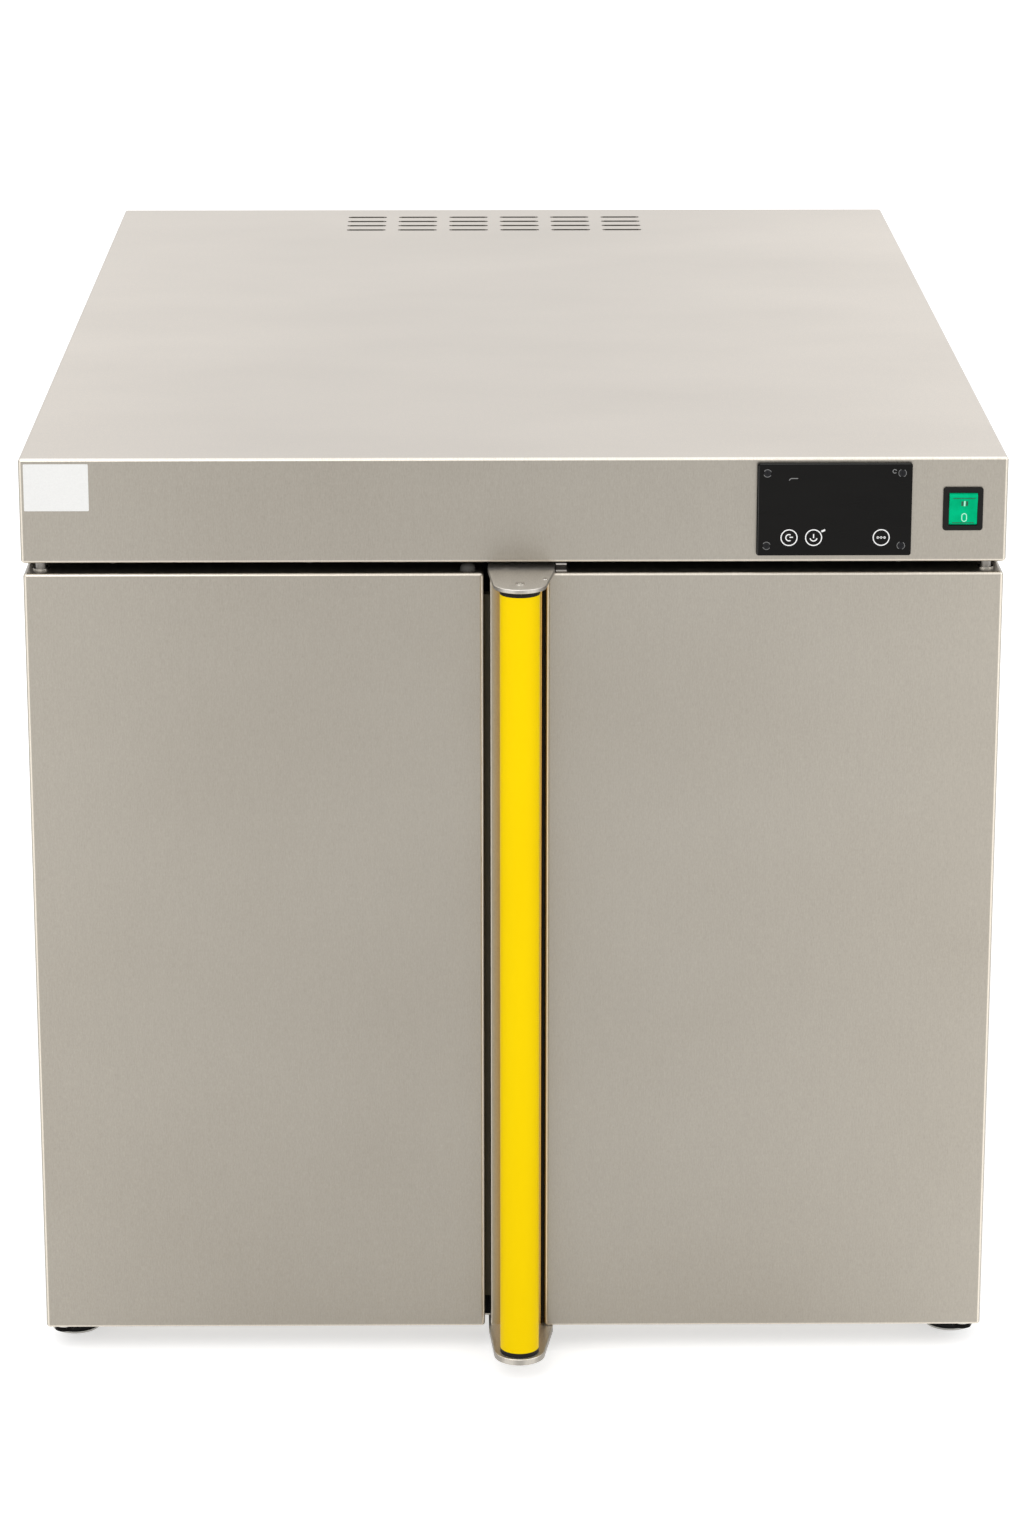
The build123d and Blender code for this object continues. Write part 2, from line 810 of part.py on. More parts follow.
def standing_box(x, y, size, edge):
    """Small moulded case on the hood's base plate."""
    case = Pos(x, y, hood_floor + size[2] / 2) * Box(*size)
    return fillet(case.edges().filter_by(Axis.Z), edge)


def make_terminal_block():
    """Row of mains terminals with one screw well each."""
    strip = standing_box(terminal_x, rear - terminal_from_rear, terminal_size, 1)
    wells = spread(GridLocations(terminal_size[0] / 6, 0, 6, 1), Circle(3))
    top = hood_floor + terminal_size[2]
    return strip - extrude(Pos(terminal_x, rear - terminal_from_rear, top - 8) * wells, 9)


def make_thermostat():
    """Over-temperature cut-out beside the probe."""
    x = probe_x - thermostat_from_probe
    case = rod(x, probe_y, hood_floor, hood_floor + thermostat_height, thermostat_diameter / 2)
    return fillet(case.edges().group_by(Axis.Z)[-1], 3)


def make_gland():
    """Cable gland body: hexagon and clamping dome outside, thread inside."""
    hexagon = RegularPolygon(gland_hex / 2, 6, major_radius=False)
    body = extrude(hexagon, gland_hex_height)
    dome = Pos(Z=gland_hex_height) * extrude(Circle(gland_cap_diameter / 2), gland_cap_height)
    dome = fillet(dome.edges().group_by(Axis.Z)[-1], 4)
    thread = extrude(Circle(gland_thread / 2), -(gland_inner_length + case_sheet))
    through = gland_cap_height + gland_hex_height + gland_inner_length + case_sheet
    bore = Pos(Z=-gland_inner_length - case_sheet - 1) * extrude(Circle(gland_bore / 2), through + 2)
    gland = body + dome + thread - bore
    return Pos(gland_x, rear_panel_back, gland_height) * Rot(X=-90) * gland


def make_gland_nut():
    """Hexagonal lock nut on the gland's thread, inside the rear panel."""
    nut = extrude(RegularPolygon(gland_nut / 2, 6, major_radius=False), gland_nut_height)
    nut -= extrude(Circle(gland_thread / 2 + pin_clearance), gland_nut_height)
    return Pos(gland_x, rear_panel_front, gland_height) * Rot(X=90) * nut


def foot_places():
    """Centres of the four feet."""
    return [(side * foot_x, y) for y in (foot_front_y, foot_rear_y) for side in (-1, 1)]


def make_feet():
    """Moulded feet, waisted below their top flange."""
    height = foot_height - foot_pad
    outline = Polyline(
        (0, 0), (foot_diameter / 2, 0), (foot_diameter / 2, height * 0.4),
        (foot_waist / 2, height * 0.7), (foot_waist / 2, height), (0, height), (0, 0),
    )
    foot = revolve(Plane.XZ * make_face(outline), Axis.Z)
    return [Pos(x, y, foot_pad) * foot for x, y in foot_places()]


def make_foot_pads():
    """Glide discs under the feet."""
    return [rod(x, y, 0, foot_pad, foot_pad_diameter / 2) for x, y in foot_places()]


def make_brackets():
    """Bottom hinge brackets: plates under the stiles with the lower pins welded in."""
    brackets = []
    low = chamber_half_width
    for side in (-1, 1):
        leaf = Pos((low + inner_half_width) / 2, case_front + frame_depth / 2) * Rectangle(
            inner_half_width - low, frame_depth
        )
        tongue_length = case_front + hinge_inset - hinge_y
        tongue = Pos(hinge_x, hinge_y + tongue_length / 2) * Rectangle(2 * bracket_nose_radius, tongue_length)
        nose = Pos(hinge_x, hinge_y) * Circle(bracket_nose_radius)
        plate = Pos(Z=base_top) * extrude(leaf + tongue + nose, bracket_thickness)
        pin = rod(hinge_x, hinge_y, bracket_top - 1, door_bottom + pin_reach, hinge_radius)
        pin = chamfer(pin.edges().group_by(Axis.Z)[-1], 1)
        bracket = plate + pin
        if side < 0:
            bracket = mirror(bracket, about=Plane.YZ)
        brackets.append(bracket)
    return brackets


def make_top_pins():
    """Upper hinge pins, hanging by their heads from the hood's base plate."""
    pins = []
    for side in (-1, 1):
        pin = rod(0, 0, door_top - pin_reach, hood_floor + 1, hinge_radius)
        pin = chamfer(pin.edges().group_by(Axis.Z)[0], 1)
        pin += rod(0, 0, hood_floor, hood_floor + pin_head_height, pin_head / 2)
        pins.append(Pos(side * hinge_x, hinge_y) * pin)
    return pins


def make_washers():
    """Thrust washers between the lower brackets and the door bushes."""
    low = bracket_top
    high = door_bottom - bush_flange_height - thrust_clearance
    washers = []
    for side in (-1, 1):
        ring = rod(side * hinge_x, hinge_y, low, high, washer_diameter / 2)
        ring -= rod(side * hinge_x, hinge_y, low - 1, high + 1, hinge_radius + pin_clearance)
        washers.append(ring)
    return washers


def make_bushes(side):
    """Flanged bushes in the top and bottom of one door."""
    bore = hinge_radius + pin_clearance
    place = (side * hinge_x, hinge_y)
    upper = rod(*place, door_top - bush_length, door_top, bush_diameter / 2)
    upper += rod(*place, door_top, door_top + bush_flange_height, bush_flange / 2)
    upper -= rod(*place, door_top - bush_length - 1, door_top + bush_flange_height + 1, bore)
    lower = rod(*place, door_bottom, door_bottom + bush_length, bush_diameter / 2)
    lower += rod(*place, door_bottom - bush_flange_height, door_bottom, bush_flange / 2)
    lower -= rod(*place, door_bottom - bush_flange_height - 1, door_bottom + bush_length + 1, bore)
    return [upper, lower]


def make_door_skin(x, width, side):
    """Outer door case, folded back on four sides, with holes for the bushes."""
    depth = door_depth - liner_sheet
    skin = folded_case(width, door_height, depth, door_sheet, door_bend, door_hem)
    skin = Pos(x, door_front + depth / 2, door_middle) * Rot(X=90) * skin
    hole = bush_diameter / 2 + pin_clearance
    return skin - rod(side * hinge_x, hinge_y, door_bottom - 1, door_top + 1, hole)


def make_door_liner(x, width, bay):
    """Inner door sheet with a pressed panel that stands into the chamber's mouth."""
    left, right = bays[bay]
    flat_y = door_front + door_depth - liner_sheet
    outline = RectangleRounded(width - 2 * liner_margin, door_height - 2 * liner_margin, door_bend)
    sheet = extrude(front_plane(x, flat_y, door_middle) * outline, liner_sheet, dir=(0, 1, 0))
    plug_width = right - left - 2 * (gasket_offset + liner_sheet)
    plug_height = chamber_ceiling_height - chamber_floor_height - 2 * (gasket_offset + liner_sheet)
    plane = front_plane((left + right) / 2, flat_y, chamber_middle)
    raised = RectangleRounded(plug_width, plug_height, liner_corner)
    hollow = RectangleRounded(plug_width - 2 * liner_sheet, plug_height - 2 * liner_sheet, liner_corner - 1)
    depth = liner_plug_height
    sheet += extrude(plane * raised, depth + liner_sheet, dir=(0, 1, 0), taper=liner_plug_taper)
    sheet -= extrude(plane * hollow, depth, dir=(0, 1, 0), taper=liner_plug_taper)
    return sheet


def make_door_insulation(x, width, side):
    """Insulating slab between a door's skin and its liner, clear of the bushes."""
    gap = door_bend + fit_clearance
    low, high = x - width / 2 + gap, x + width / 2 - gap
    clear = hinge_x - bush_diameter / 2 - gap
    if side < 0:
        low = -clear
    else:
        high = clear
    back = door_front + door_depth - liner_sheet - door_sheet - fit_clearance
    return block((low, high), (door_front + door_sheet, back), (door_bottom + gap, door_top - gap))


def make_door_gasket(bay):
    """Soft gasket frame on the liner, around the chamber's mouth."""
    left, right = bays[bay]
    width = right - left + 2 * gasket_offset
    height = chamber_ceiling_height - chamber_floor_height + 2 * gasket_offset
    outer = RectangleRounded(width + 2 * gasket_width, height + 2 * gasket_width, gasket_width)
    ring = outer - Rectangle(width, height)
    plane = front_plane((left + right) / 2, door_front + door_depth, chamber_middle)
    gasket = extrude(plane * ring, gasket_height, dir=(0, 1, 0))
    return fillet(gasket.edges().group_by(Axis.Y)[-1], gasket_edge)


def make_buffer():
    """Domed rubber buffer on the left door's top edge."""
    radius = buffer_diameter / 2
    dome = Cylinder(radius, buffer_height, align=standing)
    dome = fillet(dome.edges().group_by(Axis.Z)[-1], radius * 0.8)
    return Pos(buffer_x, door_front + buffer_setback, door_top) * dome


def make_catch():
    """Small spring catch on the right door's top edge, bent as a U open to the front."""
    outside = Rectangle(catch_depth, catch_height)
    outside = fillet(outside.vertices().sort_by(Axis.X)[-2:], 2 * catch_sheet)
    inside = Pos(X=-catch_sheet) * Rectangle(catch_depth, catch_height - 2 * catch_sheet)
    inside = fillet(inside.vertices().sort_by(Axis.X)[-2:], catch_sheet)
    bar = extrude(outside - inside, catch_width / 2, both=True)
    place = Pos(catch_x, door_front + catch_front + catch_depth / 2, door_top + catch_height / 2)
    return place * Rot(Z=90) * Rot(X=90) * bar


def make_strip():
    """Folded centre strip: web in front, two returns, and a flange on the right door."""
    front = door_front + strip_setback
    step = door_front + strip_flange_start
    end = door_front + strip_flange_end
    left, right, sheet = strip_left, strip_right, strip_sheet
    seat = right_free_edge
    outline = [
        (left, front), (right, front), (right, step), (seat, step), (seat, end),
        (seat - sheet, end), (seat - sheet, step + sheet), (right - sheet, step + sheet),
        (right - sheet, front + sheet), (left + sheet, front + sheet), (left + sheet, step),
        (left, step),
    ]
    section = Polygon(*outline, align=None)
    corners = section.vertices().group_by(Axis.Y)[0]
    section = fillet(corners, sheet * 0.9)
    return Pos(Z=door_bottom) * extrude(section, door_height)


def make_strip_seals():
    """Rubber lip in the gap to the left door, and the packing between strip and right door."""
    step = door_front + strip_flange_start
    ends = (door_bottom + strip_seal_end_gap, door_top - strip_seal_end_gap)
    lip = block((left_free_edge + seal_clearance, strip_left), (door_front + strip_seal_setback, step), ends)
    packing = block(
        (strip_right, right_free_edge), (door_front + strip_packing_setback, step), (door_bottom, door_top)
    )
    return [lip, packing]


def plate_outline():
    """Tongue-shaped plan of a handle plate: straight at the door, tapered, and round at the nose."""
    tip = door_front - handle_reach
    heel = Pos(handle_x + plate_shift, door_front + plate_overlap / 2) * Rectangle(plate_width, plate_overlap)
    nose = Pos(handle_x, tip + plate_nose_radius) * Circle(plate_nose_radius)
    return make_hull(heel.edges() + nose.edges())


def make_plate(low, thickness):
    """One handle plate with its edge broken and its screw hole."""
    plate = Pos(Z=low) * extrude(plate_outline(), thickness)
    plate = fillet(plate.faces().filter_by(Axis.Z).edges(), plate_edge)
    hole = plate_screw_shank / 2 + hole_clearance
    return plate - rod(handle_x, tube_y, low - 1, low + thickness + 1, hole)


def make_tube():
    """Round grip tube."""
    low = door_bottom + end_collar
    high = door_top - end_collar
    tube = rod(handle_x, tube_y, low, high, tube_diameter / 2)
    return tube - rod(handle_x, tube_y, low - 1, high + 1, tube_diameter / 2 - tube_wall)


def make_end_plugs():
    """Black end plugs: a collar under each plate and a plug inside the tube."""
    plugs = []
    inner = tube_diameter / 2 - tube_wall - fit_clearance
    hole = plate_screw_shank / 2 + pin_clearance
    for end, inwards in ((door_bottom, 1), (door_top, -1)):
        collar_end = end + inwards * end_collar
        plug_end = collar_end + inwards * end_plug_length
        plug = rod(handle_x, tube_y, *sorted((end, collar_end)), tube_diameter / 2)
        plug += rod(handle_x, tube_y, *sorted((collar_end, plug_end)), inner)
        plug -= rod(handle_x, tube_y, *sorted((end - inwards, plug_end + inwards)), hole)
        plugs.append(plug)
    return plugs


def make_handle_screws():
    """Screws through the plates into the end plugs, and the top plate's locking pin."""
    screws = []
    outer_top = door_top + top_plate_thickness
    outer_bottom = door_bottom - bottom_plate_thickness
    for face, outwards in ((outer_top, 1), (outer_bottom, -1)):
        head_end = face + outwards * plate_screw_head_height
        head = rod(handle_x, tube_y, *sorted((face, head_end)), plate_screw_head / 2)
        head -= rod(handle_x, tube_y, *sorted((head_end - outwards * 0.5, head_end + outwards)),
                    plate_screw_head / 4)
        shank_end = face - outwards * plate_screw_length
        head += rod(handle_x, tube_y, *sorted((face, shank_end)), plate_screw_shank / 2)
        screws.append(head)
    pin = Cylinder(plate_pin_head / 2, plate_pin_height, align=standing)
    pin = fillet(pin.edges().group_by(Axis.Z)[-1], plate_pin_height * 0.8)
    screws.append(Pos(handle_x + plate_pin_x, door_front - plate_pin_reach, outer_top) * pin)
    return screws


probe_hole = (probe_x, probe_y, probe_diameter / 2 + hole_clearance)

pieces = {
    "hood": make_hood(),
    "hood_base": make_hood_base(),
    "hood_screws": make_hem_screws(),
    "left_side_panel": make_side_panel(-1),
    "right_side_panel": make_side_panel(1),
    "base_panel": make_base_panel(),
    "rear_panel": make_rear_panel(),
    "frame_stiles": make_stiles(),
    "frame_rails": make_rails(),
    "centre_mullion": make_mullion(),
    "chamber_side_walls": make_chamber_walls(),
    "chamber_floor": make_chamber_level(chamber_floor_height - chamber_sheet, []),
    "chamber_ceiling": make_chamber_level(chamber_ceiling_height, [probe_hole]),
    "chamber_rear_wall": make_rear_wall(),
    "chamber_insulation": make_insulation(),
    "side_tray_rails": make_side_rails(),
    "centre_tray_rails": make_centre_rails(),
    "centre_posts": make_centre_posts(),
    "left_trays": make_trays("left"),
    "right_trays": make_trays("right"),
    "fan_baffle": make_baffle(),
    "fan_wheel": make_fan_wheel(),
    "fan_shaft": make_fan_shaft(),
    "fan_motor": make_fan_motor(),
    "ring_heater": make_heater(),
    "temperature_probe": make_probe(),
    "control_panel": make_control_panel(),
    "panel_screws": make_panel_screws(),
    "control_board": make_board(),
    "power_relay": standing_box(relay_x, door_front + relay_from_front, relay_size, 2),
    "terminal_block": make_terminal_block(),
    "safety_thermostat": make_thermostat(),
    "switch_housing": make_switch_housing(),
    "switch_rocker": make_rocker(),
    "cable_gland": make_gland(),
    "gland_locknut": make_gland_nut(),
    "feet": make_feet(),
    "foot_pads": make_foot_pads(),
    "bottom_hinge_brackets": make_brackets(),
    "top_hinge_pins": make_top_pins(),
    "hinge_washers": make_washers(),
    "left_door_skin": make_door_skin(left_door_x, left_door_width, -1),
    "left_door_liner": make_door_liner(left_door_x, left_door_width, "left"),
    "left_door_insulation": make_door_insulation(left_door_x, left_door_width, -1),
    "left_door_gasket": make_door_gasket("left"),
    "left_door_bushes": make_bushes(-1),
    "left_door_buffer": make_buffer(),
    "right_door_skin": make_door_skin(right_door_x, right_door_width, 1),
    "right_door_liner": make_door_liner(right_door_x, right_door_width, "right"),
    "right_door_insulation": make_door_insulation(right_door_x, right_door_width, 1),
    "right_door_gasket": make_door_gasket("right"),
    "right_door_bushes": make_bushes(1),
    "right_door_catch": make_catch(),
    "centre_strip": make_strip(),
    "strip_seals": make_strip_seals(),
    "handle_top_plate": make_plate(door_top, top_plate_thickness),
    "handle_bottom_plate": make_plate(door_bottom - bottom_plate_thickness, bottom_plate_thickness),
    "handle_tube": make_tube(),
    "handle_end_plugs": make_end_plugs(),
    "handle_screws": make_handle_screws(),
}

os.makedirs("parts", exist_ok=True)
for name, shape in pieces.items():
    solids = shape if isinstance(shape, list) else [shape]
    solids = [solid for item in solids for solid in item.solids()]
    body = Compound(children=solids) if len(solids) > 1 else solids[0]
    export_step(body, f"parts/{name}.step")
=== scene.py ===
"""Looks for a heating cabinet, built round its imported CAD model."""

import logging
import math
from dataclasses import dataclass, field
from enum import Enum
from typing import Any, Union

import bmesh
import bpy
from mathutils import Matrix, Vector


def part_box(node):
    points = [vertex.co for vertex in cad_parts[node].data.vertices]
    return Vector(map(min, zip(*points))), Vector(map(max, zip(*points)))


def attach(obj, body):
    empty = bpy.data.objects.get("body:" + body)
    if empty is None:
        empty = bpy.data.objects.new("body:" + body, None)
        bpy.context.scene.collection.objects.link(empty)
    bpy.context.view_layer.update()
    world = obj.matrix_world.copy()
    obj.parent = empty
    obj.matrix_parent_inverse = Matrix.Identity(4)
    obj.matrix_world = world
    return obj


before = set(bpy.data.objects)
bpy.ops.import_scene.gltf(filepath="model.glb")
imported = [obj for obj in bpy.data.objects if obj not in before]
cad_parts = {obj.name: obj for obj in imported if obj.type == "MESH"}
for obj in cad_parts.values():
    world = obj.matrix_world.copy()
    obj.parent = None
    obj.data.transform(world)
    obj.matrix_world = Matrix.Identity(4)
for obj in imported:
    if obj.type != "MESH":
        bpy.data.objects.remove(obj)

log = logging.getLogger("heating_cabinet")

Colour = tuple[float, float, float]
Point = tuple[float, float]
Operand = Union["Wire", float, int]

MM = 0.001
ARC_STEP = 9
LEAST_STEPS = 6


class Grain(Enum):
    """Which way the brushing of a sheet runs."""

    UPRIGHT = (1.0, 0.15, 0.15)
    LENGTHWISE = (0.03, 0.03, 1.0)


class Wire:
    """A socket of a node tree that takes Python's operators and grows Math nodes."""

    def __init__(self, bench: "Bench", socket: bpy.types.NodeSocket) -> None:
        """Keeps the bench that made the socket.

        Args:
            bench: The node tree's maker.
            socket: An output socket.
        """
        self.bench = bench
        self.socket = socket

    def _math(self, operation: str, first: Operand, second: Operand = 0.0) -> "Wire":
        """Adds one Math node.

        Args:
            operation: The Math node's operation.
            first: The first operand.
            second: The second operand.

        Returns:
            The result as a wire.
        """
        return self.bench.node("ShaderNodeMath", {"operation": operation}, {0: first, 1: second})

    def __add__(self, other: Operand) -> "Wire":
        """Sum."""
        return self._math("ADD", self, other)

    def __radd__(self, other: Operand) -> "Wire":
        """Sum with a number on the left."""
        return self._math("ADD", other, self)

    def __sub__(self, other: Operand) -> "Wire":
        """Difference."""
        return self._math("SUBTRACT", self, other)

    def __rsub__(self, other: Operand) -> "Wire":
        """Difference from a number on the left."""
        return self._math("SUBTRACT", other, self)

    def __mul__(self, other: Operand) -> "Wire":
        """Product."""
        return self._math("MULTIPLY", self, other)

    def __rmul__(self, other: Operand) -> "Wire":
        """Product with a number on the left."""
        return self._math("MULTIPLY", other, self)

    def __truediv__(self, other: Operand) -> "Wire":
        """Quotient."""
        return self._math("DIVIDE", self, other)

    def size(self) -> "Wire":
        """Value without its sign."""
        return self._math("ABSOLUTE", self)

    def most(self, other: Operand) -> "Wire":
        """Larger of two values."""
        return self._math("MAXIMUM", self, other)


class Bench:
    """Builds one node tree, of a material or of the world."""

    def __init__(
        self, owner: bpy.types.Material | bpy.types.World, output_kind: str = "ShaderNodeOutputMaterial"
    ) -> None:
        """Starts an empty tree with an output.

        Args:
            owner: The material or world that the tree belongs to.
            output_kind: The output node's Blender type.
        """
        owner.use_nodes = True
        self.owner = owner
        self.tree = owner.node_tree
        self.tree.nodes.clear()
        self.output = self.tree.nodes.new(output_kind)

    def node(
        self,
        kind: str,
        settings: dict[str, Any] | None = None,
        inputs: dict[int | str, Any] | None = None,
        output: int | str = 0,
    ) -> Wire:
        """Adds a node of any type.

        Args:
            kind: The node's Blender type.
            settings: Attributes to set first.
            inputs: Values or wires of its sockets, by name or number.
            output: The output to return, by name or number.

        Returns:
            The chosen output as a wire.
        """
        made = self.tree.nodes.new(kind)
        for key, value in (settings or {}).items():
            setattr(made, key, value)
        for key, value in (inputs or {}).items():
            self.feed(made.inputs[key], value)
        return Wire(self, made.outputs[output])

    def feed(self, socket: bpy.types.NodeSocket, value: Any) -> None:
        """Links a wire to a socket, or sets the socket's own value.

        Args:
            socket: An input socket.
            value: A wire, number, colour or vector.
        """
        if isinstance(value, Wire):
            self.tree.links.new(value.socket, socket)
        elif isinstance(value, tuple) and socket.type == "RGBA" and len(value) == 3:
            socket.default_value = (*value, 1.0)
        else:
            socket.default_value = value

    def place(self) -> Wire:
        """Place on the object, in metres."""
        return self.node("ShaderNodeTexCoord", output="Object")

    def stretched(self, factors: tuple[float, float, float]) -> Wire:
        """Place on the object, with each axis scaled.

        Args:
            factors: How often a pattern repeats along each axis.

        Returns:
            The scaled place.
        """
        return self.node("ShaderNodeVectorMath", {"operation": "MULTIPLY"}, {0: self.place(), 1: factors})

    def noise(
        self,
        factors: tuple[float, float, float],
        scale: float,
        detail: float = 3.0,
        roughness: float = 0.55,
    ) -> Wire:
        """Soft noise from 0 to 1.

        Args:
            factors: Stretch along each axis.
            scale: Cells per metre.
            detail: Octaves.
            roughness: Weight of the finer octaves.

        Returns:
            The noise.
        """
        where = self.stretched(factors)
        inputs = {"Vector": where, "Scale": scale, "Detail": detail, "Roughness": roughness}
        return self.node("ShaderNodeTexNoise", {}, inputs)

    def span(self, value: Wire, low: float, high: float, start: float = 0.0, end: float = 1.0) -> Wire:
        """Value mapped from one range to another, and held at its ends.

        Args:
            value: The value.
            low: Where the range starts.
            high: Where the range ends.
            start: Result at low.
            end: Result at high.

        Returns:
            The mapped value.
        """
        inputs = {"Value": value, "From Min": low, "From Max": high, "To Min": start, "To Max": end}
        return self.node("ShaderNodeMapRange", {"clamp": True}, inputs)

    def blend(self, factor: Operand, first: Any, second: Any) -> Wire:
        """Colour between two colours.

        Args:
            factor: Share of the second colour.
            first: Colour at 0.
            second: Colour at 1.

        Returns:
            The mixed colour.
        """
        return self.node("ShaderNodeMix", {"data_type": "RGBA"}, {0: factor, 6: first, 7: second}, 2)

    def shaded(self, colour: Any, factor: Wire) -> Wire:
        """Colour with its brightness multiplied.

        Args:
            colour: The colour.
            factor: The factor.

        Returns:
            The brighter or darker colour.
        """
        return self.node("ShaderNodeVectorMath", {"operation": "SCALE"}, {0: colour, "Scale": factor})

    def bump(self, height: Wire, strength: float, distance: float) -> Wire:
        """Surface direction from a height.

        Args:
            height: The height, from 0 to 1.
            strength: Share of the full effect.
            distance: Height of 1, in metres.

        Returns:
            The bent surface direction.
        """
        inputs = {"Height": height, "Strength": strength, "Distance": distance}
        return self.node("ShaderNodeBump", {}, inputs)

    def parts(self, vector: Wire) -> tuple[Wire, Wire, Wire]:
        """Splits a vector.

        Args:
            vector: The vector.

        Returns:
            Its three parts.
        """
        split = self.node("ShaderNodeSeparateXYZ", {}, {0: vector})
        return tuple(Wire(self, output) for output in split.socket.node.outputs)

    def facing(self) -> Wire:
        """Direction that the surface faces, on the piece itself."""
        return self.node("ShaderNodeTexCoord", output="Normal")

    def upward(self) -> Wire:
        """How far the surface looks up, from -1 to 1, on the piece itself."""
        return self.parts(self.facing())[2]

    def band(self, value: Wire, start: float, full: float, fade: float, end: float) -> Wire:
        """Band that rises and falls again with a value.

        Args:
            value: The value.
            start: Where the band starts to rise.
            full: Where it is full.
            fade: Where it starts to fall.
            end: Where it has gone.

        Returns:
            The band, from 0 to 1.
        """
        return self.span(value, start, full) * self.span(value, fade, end, 1.0, 0.0)

    def level_bend_highlight(self) -> Wire:
        """Mask of the painted highlight on level bends: how far the surface belongs to one, from 0 to 1."""
        _, y, z = (part.size() for part in self.parts(self.facing()))
        return self.span(y * z, 0.12, 0.42)

    def upright_bend_highlight(self) -> Wire:
        """Mask of the painted highlight on upright bends: how far the surface belongs to the front half of
        one, from 0 to 1.
        """
        x, y, _ = (part.size() for part in self.parts(self.facing()))
        return self.band(x, 0.10, 0.30, 0.55, 0.75) * self.span(y, 0.3, 0.5)

    def seen(self) -> Wire:
        """1 for rays from the camera, a gloss or a clear body, and 0 for all others."""
        kinds = ("Is Camera Ray", "Is Glossy Ray", "Is Transmission Ray")
        camera, gloss, clear = (self.node("ShaderNodeLightPath", output=kind) for kind in kinds)
        return camera.most(gloss).most(clear)

    def close(self, shader: Wire) -> bpy.types.Material | bpy.types.World:
        """Ends the tree with a shader.

        Args:
            shader: The shader's output.

        Returns:
            The owner of the finished tree.
        """
        self.tree.links.new(shader.socket, self.output.inputs["Surface"])
        return self.owner

    def surface(self, inputs: dict[str, Any]) -> bpy.types.Material:
        """Ends the tree with one principled surface.

        Args:
            inputs: Values or wires of its sockets.

        Returns:
            The finished material.
        """
        return self.close(self.node("ShaderNodeBsdfPrincipled", {}, inputs))


class Finish:
    """A finish that makes its material once and coats pieces with it."""

    name: str
    _made: dict[str, bpy.types.Material] = {}

    def make(self) -> bpy.types.Material:
        """Builds the material."""
        raise NotImplementedError

    def material(self) -> bpy.types.Material:
        """The finish's material, built at its first use."""
        if self.name not in self._made:
            self._made[self.name] = self.make()
        return self._made[self.name]

    def coat(self, *names: str) -> None:
        """Puts the finish on CAD nodes.

        Args:
            names: The nodes' names.
        """
        for name in names:
            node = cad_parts[name]
            if not node.material_slots:
                node.data.materials.append(None)
            for slot in node.material_slots:
                slot.material = self.material()

    def paint(self, piece: bpy.types.Object) -> None:
        """Puts the finish on a new piece.

        Args:
            piece: The piece.
        """
        piece.data.materials.clear()
        piece.data.materials.append(self.material())


